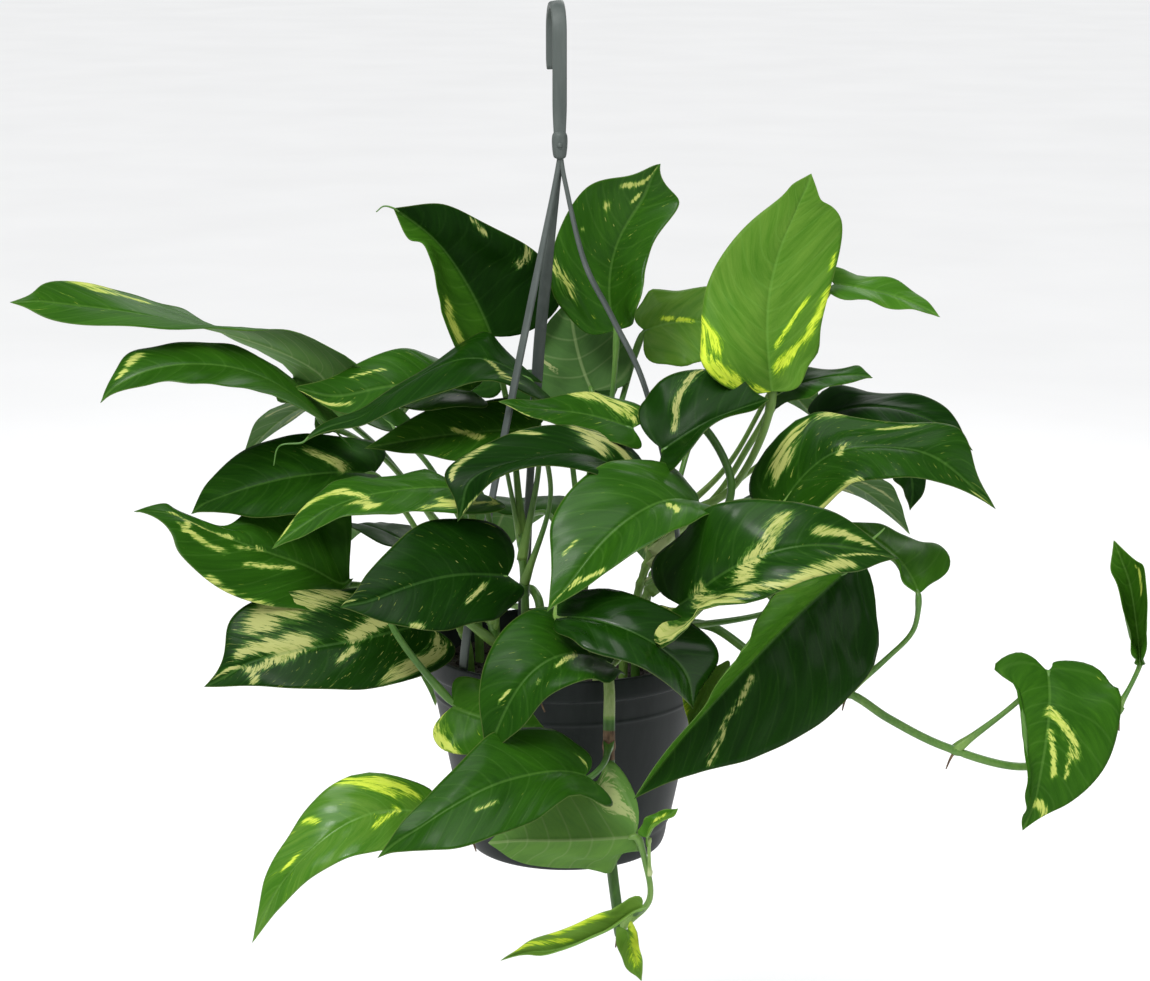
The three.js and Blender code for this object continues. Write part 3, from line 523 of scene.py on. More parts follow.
def smooth_route(points, count, power=0.5):
    """Points at even steps along the spline through the given points."""
    knots = np.array(points, float)
    knots = np.vstack([2 * knots[0] - knots[1], knots, 2 * knots[-1] - knots[-2]])
    pieces = []
    for four in zip(knots, knots[1:], knots[2:], knots[3:]):
        a, b, c, d = four
        gaps = np.linalg.norm(np.diff(four, axis=0), axis=1) ** power
        t0, t1, t2, t3 = np.concatenate([[0], np.cumsum(gaps)])
        t = np.linspace(t1, t2, SPLINE_STEPS, endpoint=False)[:, None]
        ab = ((t1 - t) * a + (t - t0) * b) / (t1 - t0)
        bc = ((t2 - t) * b + (t - t1) * c) / (t2 - t1)
        cd = ((t3 - t) * c + (t - t2) * d) / (t3 - t2)
        abc = ((t2 - t) * ab + (t - t0) * bc) / (t2 - t0)
        bcd = ((t3 - t) * bc + (t - t1) * cd) / (t3 - t1)
        pieces.append(((t2 - t) * abc + (t - t1) * bcd) / (t2 - t1))
    dense = np.vstack([*pieces, knots[-2:-1]])
    run = np.concatenate([[0], np.cumsum(np.linalg.norm(np.diff(dense, axis=0), axis=1))])
    even = np.linspace(0, run[-1], count)
    return np.column_stack([np.interp(even, run, dense[:, k]) for k in range(3)])


def unit(vectors):
    return vectors / np.maximum(np.linalg.norm(vectors, axis=-1, keepdims=True), 1e-9)


def carried_frames(path, up_hint):
    """At each point of a path: the way on, and an up and a side that turn with it but never twist."""
    along = unit(np.gradient(path, axis=0))
    up = np.zeros_like(along)
    carried = np.array(up_hint, float)
    for k, way in enumerate(along):
        carried = carried - way * (carried @ way)
        if np.linalg.norm(carried) < 1e-6:
            carried = np.cross(way, (1, 0, 0))
        carried = carried / np.linalg.norm(carried)
        up[k] = carried
    return along, up, np.cross(up, along)


def swept(path, rises, sides_out, up_hint=(0, 0, 1)):
    """A closed body: section offsets (rows by corners), upwards and sideways, carried along the path."""
    _, up, side = carried_frames(path, up_hint)
    rows, corners = rises.shape
    ring = path[:, None] + up[:, None] * rises[..., None] + side[:, None] * sides_out[..., None]
    points = np.vstack([ring.reshape(-1, 3), path[:1], path[-1:]])
    faces = grid_faces(rows, corners, closed=True)
    start, end = rows * corners, rows * corners + 1
    for k in range(corners):
        right = (k + 1) % corners
        faces.append((start, right, k))
        faces.append((end, (rows - 1) * corners + k, (rows - 1) * corners + right))
    return points, faces


print("a test route is", len(smooth_route([(0, 0, 0), (0, 0, 9)], 5)), "points")

# %% [markdown]
# ## The hanger
# One moulding carries the pot: a flat hook, a small collar, and three thin arms that spread out
# through the leaves and end in flat feet, each with a catch that snaps through the wall under the rim.
# The arms keep the frame's routes. Their section is a flat oval that widens over the plant and becomes
# a strap at the foot, so it is swept with a width that changes along the way.

# %% The arms
COLLAR_AT = (-3.0, -2.0)
COLLAR_Z = 368
HANGER_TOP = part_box("hanger")[1].z / MM
ARM_THICK = 2.2
ARM_STEPS = 110
UNIFORM = 0.001           # the spline's power that gives every stretch the same share
ARM_FOOT_Z = 88
FOOT_GAP = 1.2
ARMS = (
    {"turn": CLIP_TURNS[0], "waist": 4.6, "route": [(0, 372), (3, 355), (33, 248), (50, 185), (63, 135)]},
    {"turn": CLIP_TURNS[1], "waist": 5.4,
     "route": [(0, 372), (3, 354), (13, 314), (28, 285), (45, 250), (60, 190), (67, 135)]},
    {"turn": CLIP_TURNS[2], "waist": 6.4,
     "route": [(0, 372), (3, 354), (20, 315), (36, 271), (43, 243), (56, 190), (66, 135)]},
)
STRAP_WIDTH = 5.8
NECK_WIDTH = 2.6
CATCH_HALF = (2.4, 1.9)   # across and upwards
FRAME_POT_SIDES = 36      # the frame's pot has flats, which are nearer to its axis than its corners
FLAT_OF_POT = math.cos(math.pi / FRAME_POT_SIDES)


def foot_reach(z):
    return (wall_radius(z) - POT_WALL) * FLAT_OF_POT - FOOT_GAP - ARM_THICK / 2


def arm_path(arm):
    turn = math.radians(arm["turn"])
    foot = np.array([math.cos(turn), math.sin(turn)]) * foot_reach(ARM_FOOT_Z) - COLLAR_AT
    reach = math.hypot(*foot)
    lean = foot_reach(POT_HEIGHT) - foot_reach(ARM_FOOT_Z)
    stops = arm["route"] + [(reach + lean, POT_HEIGHT),
                            (reach + lean / 2, (POT_HEIGHT + ARM_FOOT_Z) / 2), (reach, ARM_FOOT_Z)]
    flat = foot / reach
    line = [(COLLAR_AT[0] + r * flat[0], COLLAR_AT[1] + r * flat[1], z) for r, z in stops]
    return smooth_route(line, ARM_STEPS, UNIFORM)


def flat_oval(width, thickness, corners, squareness=3.4):
    """Offsets of a rounded strap: up is across its thickness, out is across its width."""
    turns = np.linspace(0, 2 * math.pi, corners, endpoint=False)
    c, s = np.cos(turns), np.sin(turns)
    shape = 2 / squareness
    rise = np.sign(s) * np.abs(s) ** shape * thickness[:, None] / 2
    out = np.sign(c) * np.abs(c) ** shape * width[:, None] / 2
    return rise, out


def add_arm(skin, arm):
    path = arm_path(arm)
    heights = [70, 130, 190, 250, 300, 350, 375]
    widths = [STRAP_WIDTH, STRAP_WIDTH, 4.2, arm["waist"], arm["waist"], NECK_WIDTH, NECK_WIDTH]
    width = np.interp(path[:, 2], heights, widths)
    rise, out = flat_oval(width, np.full(len(path), ARM_THICK), 20)
    turn = math.radians(arm["turn"])
    skin.add(*swept(path, rise, out, (math.cos(turn), math.sin(turn), 0.3)))
    low, high = foot_reach(CLIP_Z) - 0.4, wall_radius(CLIP_Z) + 1.3
    middle = (low + high) / 2
    skin.add(*block((middle * math.cos(turn), middle * math.sin(turn), CLIP_Z),
                    ((high - low) / 2, *CATCH_HALF), turn))


print("three arms, feet", round(foot_reach(ARM_FOOT_Z)), "mm out from the pot's axis")

# %% The hook and the collar
HOOK_WIDTH = 7.4
HOOK_THICK = 3.6
HOOK_INNER = 12.4
HOOK_TIP_Z = 410
HOOK_TURN = 7


def hook_path():
    """Up from the collar, over a half circle and down to the blunt tip, in the hook's own plane."""
    radius = HOOK_INNER + HOOK_THICK / 2
    crown = HANGER_TOP - HOOK_THICK - HOOK_INNER
    back = math.radians(90 + HOOK_TURN)
    climb = [(0, z) for z in np.linspace(COLLAR_Z + 3, crown - 2, 14)]
    half_turn = np.linspace(0, math.pi, 25)
    bend = [(radius - radius * math.cos(a), crown + radius * math.sin(a)) for a in half_turn]
    fall = [(2 * radius, z) for z in np.linspace(crown - 2, HOOK_TIP_Z, 8)]
    return np.array([(COLLAR_AT[0] + r * math.cos(back), COLLAR_AT[1] + r * math.sin(back), z)
                     for r, z in climb + bend + fall])


def add_hook(skin):
    path = hook_path()
    run = np.linspace(0, 1, len(path))
    width = np.full(len(path), HOOK_WIDTH) - 1.6 * smoothstep(0.12, 0.0, run)
    width = width - 0.7 * smoothstep(0.96, 1, run)
    thick = np.full(len(path), HOOK_THICK) - 0.6 * smoothstep(0.97, 1, run)
    rise, out = flat_oval(width, thick, 24, squareness=4.5)
    skin.add(*swept(path, rise, out, (0, -1, 0)))
    collar = [(ON_AXIS, -1.5), (2.6, -1.0), (3.4, 0), (4.0, 5), (4.1, 9), (3.7, 11.5), (2.2, 13),
              (ON_AXIS, 13.2)]
    points, faces = turned(rounded(collar, 2), 32)
    skin.add(np.array(points) + (*COLLAR_AT, COLLAR_Z), faces)
    gate = [(ON_AXIS, 0), (1.5, 0), (1.3, 1.0), (0.6, 1.4), (ON_AXIS, 1.4)]
    points, faces = turned(gate, 16)
    forward = np.array(points)[:, [0, 2, 1]] * (1, -1, 1)
    skin.add(forward + (COLLAR_AT[0], COLLAR_AT[1] - 3.6, COLLAR_Z + 6), faces)


hanger_skin = Skin()
for arm in ARMS:
    add_arm(hanger_skin, arm)
add_hook(hanger_skin)
hanger = hanger_skin.build("moulded_hanger", [hanger_plastic])
dress(hanger, "hanger")

# %% [markdown]
# ## The soil
# Moist potting soil is nearly black, made of crumbs of peat with a few bits of bark. The body follows
# the inside of the pot. Its top is a fine disc with lumps, and loose crumbs of random size are pressed
# into it by a seeded draw, so every run gives the same soil.

# %% Soil finish
def soil_paint():
    paint = Paint("potting_soil", Roughness=0.92)
    here = paint.object_place()
    crumbs = paint.noise(here, scale=420.0, detail=6.0, roughness=0.7)
    patches = paint.noise(here, scale=60.0, detail=3.0)
    fibres = paint.noise(here, scale=900.0, detail=2.0, distortion=2.0)
    base = paint.ramp(crumbs * 0.6 + patches * 0.4, (0.32, (0.004, 0.0025, 0.002)),
                      (0.52, (0.016, 0.009, 0.006)), (0.72, (0.045, 0.026, 0.016)))
    paint.surface(
        Base_Color=paint.mix(paint.step(fibres, 0.7, 0.78) * 0.5, base, rgb(0.16, 0.1, 0.06)),
        Normal=paint.bump(crumbs, 0.0015, 0.9),
    )
    return paint.material


potting_soil = soil_paint()
print("soil finish ready")

# %% Soil body and crumbs
SOIL_TOP = 97
SOIL_RINGS = 44
SOIL_SIDES = 120
CRUMBS = 620
CRUMB_SIDES = 7
soil_draw = random.Random(11)


def soil_height(x, y):
    lumps = math.sin(x * 0.21 + 1.3) * math.cos(y * 0.17) + 0.6 * math.sin(x * 0.09 - y * 0.13)
    crumbs = 0.5 * math.sin(x * 0.83 + 0.4 * y) * math.sin(y * 0.91)
    fine = 0.3 * math.sin(x * 1.7) * math.cos(y * 1.9)
    return SOIL_TOP + 1.2 * lumps + 0.7 * (crumbs + fine)


def soil_side(z):
    return wall_radius(z) - POT_WALL - 0.7


def add_soil_body(skin):
    floor_z = POT_FLOOR + 0.3
    profile = [(ON_AXIS, floor_z), (FOOT_RADIUS - POT_WALL - 7, floor_z),
               (FOOT_RADIUS - POT_WALL - 1.3, floor_z + 4.5), (soil_side(FOOT_HEIGHT + 2), FOOT_HEIGHT + 2),
               (soil_side(60), 60), (soil_side(SOIL_TOP - 1.5), SOIL_TOP - 1.5)]
    edge = soil_side(SOIL_TOP) - 0.2
    profile += [(edge * (1 - k / SOIL_RINGS), SOIL_TOP) for k in range(1, SOIL_RINGS)]
    profile.append((ON_AXIS, SOIL_TOP))
    points, faces = turned(profile, SOIL_SIDES)
    skin.add([(x, y, soil_height(x, y) if z > SOIL_TOP - 1 else z) for x, y, z in points], faces)


def crumb_shape():
    """A small uneven lump: a coarse ball with every point pushed in or out a little."""
    profile = [(ON_AXIS, -1), (0.62, -0.74), (0.96, -0.1), (0.75, 0.62), (ON_AXIS, 1)]
    points, faces = turned(profile, CRUMB_SIDES)
    return np.array(points), faces


def add_crumbs(skin):
    ball, faces = crumb_shape()
    for _ in range(CRUMBS):
        reach = (soil_side(SOIL_TOP) - 3.5) * math.sqrt(soil_draw.random())
        turn = soil_draw.uniform(0, 2 * math.pi)
        x, y = reach * math.cos(turn), reach * math.sin(turn)
        size = 0.5 + 1.9 * soil_draw.random() ** 2
        stretch = np.array([soil_draw.uniform(0.7, 1.5), soil_draw.uniform(0.7, 1.2),
                            soil_draw.uniform(0.5, 0.9)])
        rough = np.array([soil_draw.uniform(0.78, 1.18) for _ in range(len(ball))])
        spin = soil_draw.uniform(0, math.pi)
        c, s = math.cos(spin), math.sin(spin)
        lump = ball * rough[:, None] * stretch * size @ np.array([(c, s, 0), (-s, c, 0), (0, 0, 1)])
        skin.add(lump + (x, y, soil_height(x, y) + 0.2 * size), faces)


soil_skin = Skin()
add_soil_body(soil_skin)
add_crumbs(soil_skin)
soil = soil_skin.build("potting_soil_fill", [potting_soil])
dress(soil, "soil")

# %% [markdown]
# ## Leaf colour
# A golden pothos leaf is deep waxy green, marbled by sectors that lack chlorophyll. The sectors are
# streaks that run with the side veins, from cream through yellow to a washed-out light green where
# only one layer of cells is pale. Each blade carries its own numbers: where the point lies on the
# leaf, in millimetres, how green the leaf is, how much cream is wanted there, and which face it is.
# Long thin noise that follows the veins then breaks the wanted cream into ragged streaks and flecks.

# %% Leaf finish
VEIN_SPACING = 10.5       # millimetres between side veins along the midrib


def leaf_paint():
    paint = Paint("pothos_leaf", Specular_IOR_Level=0.045, Coat_Roughness=0.2)
    sweep, across, seed = paint.attribute("leaf_place")
    tone, cream, fleck = paint.attribute("leaf_look")
    under, margin, gloss = paint.attribute("leaf_side")
    slant = sweep - across.size() * 0.45
    streaks = paint.noise(paint.place(slant * 0.3, across * 0.05, seed), detail=5.0, roughness=0.6)
    ragged = paint.noise(paint.place(slant * 0.7, across * 0.24, seed + 7.0),
                         detail=6.0, roughness=0.68, distortion=0.7)
    clouds = paint.noise(paint.place(sweep * 0.055, across * 0.045, seed + 19.0), detail=3.0)
    dashes = paint.noise(paint.place(slant * 1.05, across * 0.24, seed + 31.0), detail=3.0, roughness=0.5)
    torn = (streaks - 0.5) * 2.0 + (ragged - 0.5) * 3.0
    wanted = cream * 0.85 + torn * (0.3 + 0.7 * cream) + fleck * 0.12
    pale = paint.step(wanted, 0.46, 0.74)
    washed = paint.step(wanted, 0.2, 0.52)
    flecks = paint.step(dashes + fleck * 0.12 + cream * 0.06, 0.76, 0.82)
    depth = tone + (clouds - 0.5) * 0.3 + (streaks - 0.5) * 0.3 + (ragged - 0.5) * 0.15
    green = paint.ramp(depth, (0.0, (0.002, 0.014, 0.0008)), (0.25, (0.0065, 0.035, 0.0016)),
                       (0.5, (0.019, 0.077, 0.004)), (0.75, (0.046, 0.150, 0.009)),
                       (1.0, (0.125, 0.245, 0.032)))
    silvery = paint.ramp(depth, (0.0, (0.022, 0.075, 0.012)), (0.5, (0.07, 0.18, 0.018)),
                         (1.0, (0.24, 0.44, 0.015)))
    creamy = paint.ramp(tone, (0.2, (0.36, 0.38, 0.13)), (0.5, (0.47, 0.52, 0.13)),
                        (0.85, (0.56, 0.70, 0.05)))
    limy = paint.ramp(tone, (0.2, (0.15, 0.21, 0.03)), (0.5, (0.22, 0.33, 0.03)), (0.85, (0.34, 0.52, 0.01)))
    golden = paint.mix(paint.step(ragged * 0.7 + clouds * 0.3 + cream * 0.12, 0.46, 0.62), limy, creamy)
    vein = 1.0 - paint.step(sweep.to_nearest(VEIN_SPACING), 0.1, 0.9)
    rib = 1.0 - paint.step(across.size(), 0.3, 1.1)
    colour = paint.mix(washed * 0.8, green, silvery)
    colour = paint.mix(pale, colour, golden)
    colour = paint.mix(flecks * 0.85, colour, golden)
    light_vein = paint.ramp(depth, (0.1, (0.04, 0.11, 0.02)), (0.8, (0.14, 0.30, 0.05)))
    colour = paint.mix(vein * (0.04 + 0.14 * tone) + rib * 0.35, colour, light_vein)
    edge = 1.0 - paint.step(margin, 0.1, 0.5)
    colour = paint.mix(edge * 0.3, colour, rgb(0.20, 0.26, 0.07))
    back_green = paint.ramp(depth, (0.0, (0.03, 0.07, 0.022)), (0.5, (0.075, 0.17, 0.04)),
                            (1.0, (0.15, 0.31, 0.05)))
    back = paint.mix(pale * 0.7 + flecks * 0.3, back_green, rgb(0.40, 0.43, 0.19))
    back = paint.mix(vein * 0.22 + rib * 0.5, back, rgb(0.25, 0.34, 0.14))
    dull = paint.noise(paint.place(sweep * 0.12, across * 0.12, seed + 43.0), detail=4.0)
    quilt = paint.noise(paint.place(sweep * 0.4, across * 0.12, seed + 53.0), detail=2.0)
    relief = quilt * 0.6 - vein * 0.18 * (1.0 - under) + vein * 0.5 * under
    paint.surface(
        Base_Color=paint.mix(under, colour, back),
        Roughness=0.47 - 0.22 * gloss + 0.22 * (dull - 0.5) + 0.14 * under + 0.05 * pale,
        Coat_Weight=(gloss - 0.35).larger(0.0) * 0.5 * (1.0 - under),
        Normal=paint.bump(relief, 0.0004, 0.5),
    )
    return paint.material


pothos_leaf = leaf_paint()
print("leaf finish ready")

# %% [markdown]
# ### Stems and stalks
# Stems are light green and ribbed, darker or brownish where they are old, and each stalk is paler
# near its foot, where it clasps the stem. They carry three numbers too: how far along in millimetres,
# how brown, and how light.

# %% Stalk finish
def stalk_paint():
    paint = Paint("pothos_stalk", Specular_IOR_Level=0.45)
    along, brown, light = paint.attribute("stalk_look")
    here = paint.object_place()
    fibres = paint.noise(paint.node("ShaderNodeMapping", {}, {"Vector": here, "Scale": (1.0, 1.0, 0.25)}),
                         scale=700.0, detail=3.0)
    patches = paint.noise(here, scale=55.0, detail=3.0)
    shade = light + (patches - 0.5) * 0.5 + (fibres - 0.5) * 0.25
    green = paint.ramp(shade, (0.0, (0.018, 0.06, 0.008)), (0.4, (0.07, 0.18, 0.025)),
                       (0.8, (0.2, 0.34, 0.07)), (1.0, (0.42, 0.5, 0.22)))
    bark = paint.ramp(fibres, (0.3, (0.05, 0.025, 0.012)), (0.7, (0.2, 0.12, 0.06)))
    old = paint.step(brown + (patches - 0.5) * 0.4, 0.42, 0.62)
    paint.surface(
        Base_Color=paint.mix(old, green, bark),
        Roughness=0.42 + 0.3 * old,
        Normal=paint.bump(fibres, 0.0002, 0.4),
    )
    return paint.material


pothos_stalk = stalk_paint()
print("stalk finish ready")

# %% [markdown]
# ## One blade
# A blade is a heart: two lobes beside the notch where the stalk joins, widest nearly a third of the way
# up, then drawn out to a pointed tip. It is folded a little along the midrib, arched along its length and
# waved at the margin. The surface is a grid. Its rows start at the midrib and sweep to the margin, and
# each row is bent across by the fold and the curl. A second skin lies half a millimetre under it, thicker
# at the midrib, and a narrow rim closes the two.

# %% The midrib and its frames
FRAME_STEPS = 48


def leaf(start, base, mid, tip, face, width, fold=10, curl=-14, twist=0, bend=(), tone=0.5, gloss=0.4,
         fleck=0.2, lobe=0.12, light=None, stout=1.0, tail=(), pulls=(), goals=(), together=False,
         streaks=(), pale=()):
    """One leaf. Lengths in millimetres, angles in degrees, (left, right) where a pair is given.
    A pull is (share of the midrib, share of the half width, reach, move): the blade is drawn that way
    there. Goals and pale streaks are given in pixels, and are turned into pulls and streaks later."""
    def pair(value):
        return value if isinstance(value, tuple) else (value, value)

    return {"start": start, "bend": list(bend), "base": base, "mid": mid, "tip": tip, "face": face,
            "width": width, "fold": pair(fold), "curl": pair(curl), "twist": twist, "tone": pair(tone),
            "gloss": gloss, "fleck": fleck, "lobe": lobe, "light": light, "stout": stout, "tail": tail,
            "pulls": list(pulls), "goals": goals, "together": together, "streaks": list(streaks),
            "pale": pale}


def midrib(one):
    """Points and directions along the midrib, a curve through the leaf's one or two middle points."""
    t = np.linspace(0, 1, FRAME_STEPS + 1)[:, None]
    through = [np.array(p, float) for p in [one["base"], *one["mid"], one["tip"]]]
    if len(through) == 3:
        a, m, b = through
        pull = 2 * m - (a + b) / 2
        place = (1 - t) ** 2 * a + 2 * t * (1 - t) * pull + t * t * b
        return place, 2 * (1 - t) * (pull - a) + 2 * t * (b - pull)
    a, m, n, b = through
    p = -5 / 6 * a + 3 * m - 3 / 2 * n + b / 3
    q = a / 3 - 3 / 2 * m + 3 * n - 5 / 6 * b
    place = (1 - t) ** 3 * a + 3 * t * (1 - t) ** 2 * p + 3 * t * t * (1 - t) * q + t ** 3 * b
    return place, 3 * (1 - t) ** 2 * (p - a) + 6 * t * (1 - t) * (q - p) + 3 * t * t * (b - q)


def turned_about(vectors, axes, angles):
    """Each vector turned about its own axis, which is at right angles to it."""
    return vectors * np.cos(angles)[:, None] + np.cross(axes, vectors) * np.sin(angles)[:, None]


def blade_frames(one):
    """Places and directions along the midrib. The face looks its own way half-way up the leaf."""
    place, along = midrib(one)
    along = unit(along)
    up = np.zeros_like(along)
    middle = FRAME_STEPS // 2

    def level(vector, way):
        return unit(vector - way * (vector @ way))

    up[middle] = level(np.array(one["face"], float), along[middle])
    for k in range(middle + 1, FRAME_STEPS + 1):
        up[k] = level(up[k - 1], along[k])
    for k in range(middle - 1, -1, -1):
        up[k] = level(up[k + 1], along[k])
    turn = math.radians(one["twist"]) * (np.linspace(0, 1, FRAME_STEPS + 1) - 0.5)
    up = turned_about(up, along, turn)
    return {"at": place, "along": along, "up": up, "right": np.cross(along, up)}


def chord_of(frames):
    return np.linalg.norm(frames["at"][-1] - frames["at"][0])


def frame_at(frames, u):
    """The frame at any place u along the midrib. Below 0 it runs straight on, behind the notch."""
    steps = np.linspace(0, 1, FRAME_STEPS + 1)
    found = {key: np.stack([np.interp(u, steps, value[:, k]) for k in range(3)], axis=-1)
             for key, value in frames.items()}
    for key in ("along", "up", "right"):
        found[key] = unit(found[key])
    found["at"] = found["at"] + found["along"] * (np.minimum(u, 0) * chord_of(frames))[..., None]
    return found


print("midrib helpers ready")

# %% The heart outline and the blade's surface
SHOULDER = 0.3            # where the leaf is widest, as a share of the midrib
BACK_RIB = 0.1            # the rows of the lobes all start within this share of the midrib
TAPER = 1.25              # how the half width falls from the shoulder to the tip
RIPPLE = 1.5              # millimetres, waves of the margin
RIPPLES = 13


def heart_rows(back_rows, front_rows, lobe):
    """For each row: its place on the midrib, its place along the margin, and its half width.
    The lobes reach back past the notch by the given share of the midrib."""
    p = np.arange(1, back_rows + 1) / back_rows
    r = np.arange(1, front_rows) / front_rows
    rib = np.concatenate([BACK_RIB * p * p, BACK_RIB + (1 - BACK_RIB) * r])
    margin = np.concatenate([SHOULDER * p ** 3 - lobe * np.sin(math.pi * p), SHOULDER + (1 - SHOULDER) * r])
    drawn_out = 1 - 0.22 * smoothstep(0.72, 0.97, r)
    half = np.concatenate([np.sin(math.pi / 2 * p), np.cos(math.pi / 2 * r ** TAPER) * drawn_out])
    return rib, margin, half


def square_gap(one, frames, u, beside, along, across):
    """The square of the distance on the blade from points to a place given in shares."""
    return ((u - along) * chord_of(frames)) ** 2 + (beside - across * one["width"] / 2) ** 2


def pulled(one, frames, points, u, beside):
    """The points after the leaf's pulls. Each one fades over its reach, in millimetres."""
    for along, across, reach, move in one["pulls"]:
        gap = square_gap(one, frames, u, beside, along, across)
        points = points + np.exp(-gap / reach ** 2)[..., None] * np.array(move, float)
    return points


def blade_surface(one, frames, rib, margin, half, across):
    """Points of the thin surface, with the distance from the midrib to each."""
    share = np.abs(across)[None, :]
    side = (across > 0).astype(int)[None, :]
    u = rib[:, None] + (margin - rib)[:, None] * share ** 1.3
    frame = frame_at(frames, u)
    width = one["width"]
    fold = np.radians(np.array(one["fold"], float))[side]
    bend = np.radians(np.array(one["curl"], float))[side] / (width / 2)
    bend = np.where(np.abs(bend) < 1e-5, 1e-5, bend)
    reach = share * half[:, None] * (width / 2)
    angle = fold + bend * reach
    out = (np.sin(angle) - np.sin(fold)) / bend
    rise = (np.cos(fold) - np.cos(angle)) / bend
    wave = RIPPLE * np.sin(u * RIPPLES + width + 2 * side) * share * share * half[:, None]
    way = np.sign(across)[None, :]
    points = frame["at"] + frame["right"] * (way * out)[..., None] + frame["up"] * (rise + wave)[..., None]
    return pulled(one, frames, points, u, reach * way), reach * way, u


def surface_normals(points, faces):
    normals = np.zeros_like(points)
    quads = np.array(faces)
    normal = np.cross(points[quads[:, 2]] - points[quads[:, 0]], points[quads[:, 3]] - points[quads[:, 1]])
    for corner in range(4):
        np.add.at(normals, quads[:, corner], normal)
    return unit(normals)


print("blade surface ready")

# %% [markdown]
# ### Fitting a blade to a view
# A real leaf is never the plain heart: one margin rolls under, a tip flops, a lobe stands up. How far
# is easier to say from where one stands than in space. So some leaves name a few points of their
# margin and, for each, the pixel where it should be seen in the camera's picture, which is 1150 pixels
# wide and 981 high. The blade is then pulled there, up or down and sideways at its own distance, by the
# whole millimetre. Pulls that overlap would undo each other, so where many stand close together their
# sizes are solved for all at once. The ends of pale streaks are found from their pixels in the same way.

# %% Where a point is seen
PICTURE_WIDTH = 1150
PICTURE_HEIGHT = 981
EYE = np.array(CAMERA_AT) / MM
PITCH = math.radians(CAMERA_DOWN)
AHEAD = np.array([0, math.cos(PITCH), -math.sin(PITCH)])
VIEW_UP = np.array([0, math.sin(PITCH), math.cos(PITCH)])
VIEW_RIGHT = np.array([1, 0, 0])
FOCAL_PIXELS = FOCAL_LENGTH / SENSOR_WIDTH * PICTURE_WIDTH


def seen_at(points):
    """The pixels where points are seen, and how far ahead of the camera they are."""
    away = points - EYE
    ahead = away @ AHEAD
    x = PICTURE_WIDTH / 2 + FOCAL_PIXELS * (away @ VIEW_RIGHT) / ahead
    y = PICTURE_HEIGHT / 2 - FOCAL_PIXELS * (away @ VIEW_UP) / ahead
    return np.stack([x, y], -1), ahead


def move_to(point, pixel):
    """The move, level with the picture, that brings a point to where it is seen at the pixel."""
    seen, ahead = seen_at(point)
    right, down = pixel - seen
    return (VIEW_RIGHT * right - VIEW_UP * down) * ahead / FOCAL_PIXELS


def twentieth(share):
    return round(round(float(share) * 20) / 20, 2)


print("the pot's base is seen at", seen_at(np.zeros(3))[0].round().tolist())

# %% Goals and pulls
LOBE_END = 0.25           # the share of the margin where the back of the lobe ends
FIT_ROWS = (20, 60)
FIT_ACROSS = np.linspace(-1, 1, 61)
EASE = 0.01               # keeps the moves small where two goals ask for nearly the same


def goals_on(side):
    """A maker of goals on one margin, or on the midrib. A goal is a share of the way from the notch to
    the tip, the reach in millimetres over which the blade gives way, and the pixel it is seen at."""
    def goal(share, reach, at):
        return {"side": side, "share": share, "reach": reach, "at": at}

    return goal


left = goals_on(-1)
rib = goals_on(0)
right = goals_on(1)


def place_of(goal, lobe):
    """A goal's place, as shares of the midrib and of the half width, each to the nearest 0.05."""
    share = goal["share"]
    if goal["side"] == 0:
        return twentieth(share), 0.0
    if share <= LOBE_END:
        p = share / LOBE_END
        along = SHOULDER * p ** 3 - lobe * math.sin(math.pi * p)
        half = math.sin(math.pi / 2 * p)
    else:
        r = (share - LOBE_END) / (1 - LOBE_END)
        along = SHOULDER + (1 - SHOULDER) * r
        half = math.cos(math.pi / 2 * r ** TAPER)
    return twentieth(along), twentieth(goal["side"] * half)


def nearest(gaps):
    return np.unravel_index(gaps.argmin(), gaps.shape)


def point_near(one, frames, along, across):
    """The point of the blade, as it is now, that is nearest to a place, and that point's own place."""
    points, beside, u = blade_surface(one, frames, *heart_rows(*FIT_ROWS, one["lobe"]), FIT_ACROSS)
    k = nearest(square_gap(one, frames, u, beside, along, across))
    return points[k], u[k], beside[k]


def pull_in_turn(one, frames):
    """One pull for each goal, each measured on the blade as the ones before it left it."""
    by_hand = one["pulls"]
    one["pulls"] = []
    for goal in one["goals"]:
        along, across = place_of(goal, one["lobe"])
        point, _, _ = point_near(one, frames, along, across)
        move = move_to(point, goal["at"]).round()
        one["pulls"].append((along, across, goal["reach"], move))
    one["pulls"] += by_hand


def pull_together(one, frames):
    """One pull for each goal, all worked out at once from how much each moves the others' points."""
    places = [place_of(goal, one["lobe"]) for goal in one["goals"]]
    shares = []
    moves = []
    for goal, place in zip(one["goals"], places):
        point, u, beside = point_near(one, frames, *place)
        moves.append(move_to(point, goal["at"]))
        shares.append([np.exp(-square_gap(one, frames, u, beside, *other) / giver["reach"] ** 2)
                       for giver, other in zip(one["goals"], places)])
    shares = np.array(shares)
    eased = shares.T @ shares + EASE * np.eye(len(shares))
    solved = np.linalg.solve(eased, shares.T @ np.array(moves)).round()
    for goal, place, move in zip(one["goals"], places, solved):
        one["pulls"].append((*place, goal["reach"], move))


print("fitting helpers ready")

# %% Pale streaks
VEIN_SWEEP = 0.07         # how far the side veins sweep forward, as a share of the midrib
MM_PER_PIXEL = 0.75


def streak(wide, at, to):
    """A pale streak from one pixel of the picture to another. Its half width is in pixels too."""
    return {"wide": wide, "ends": (at, to)}


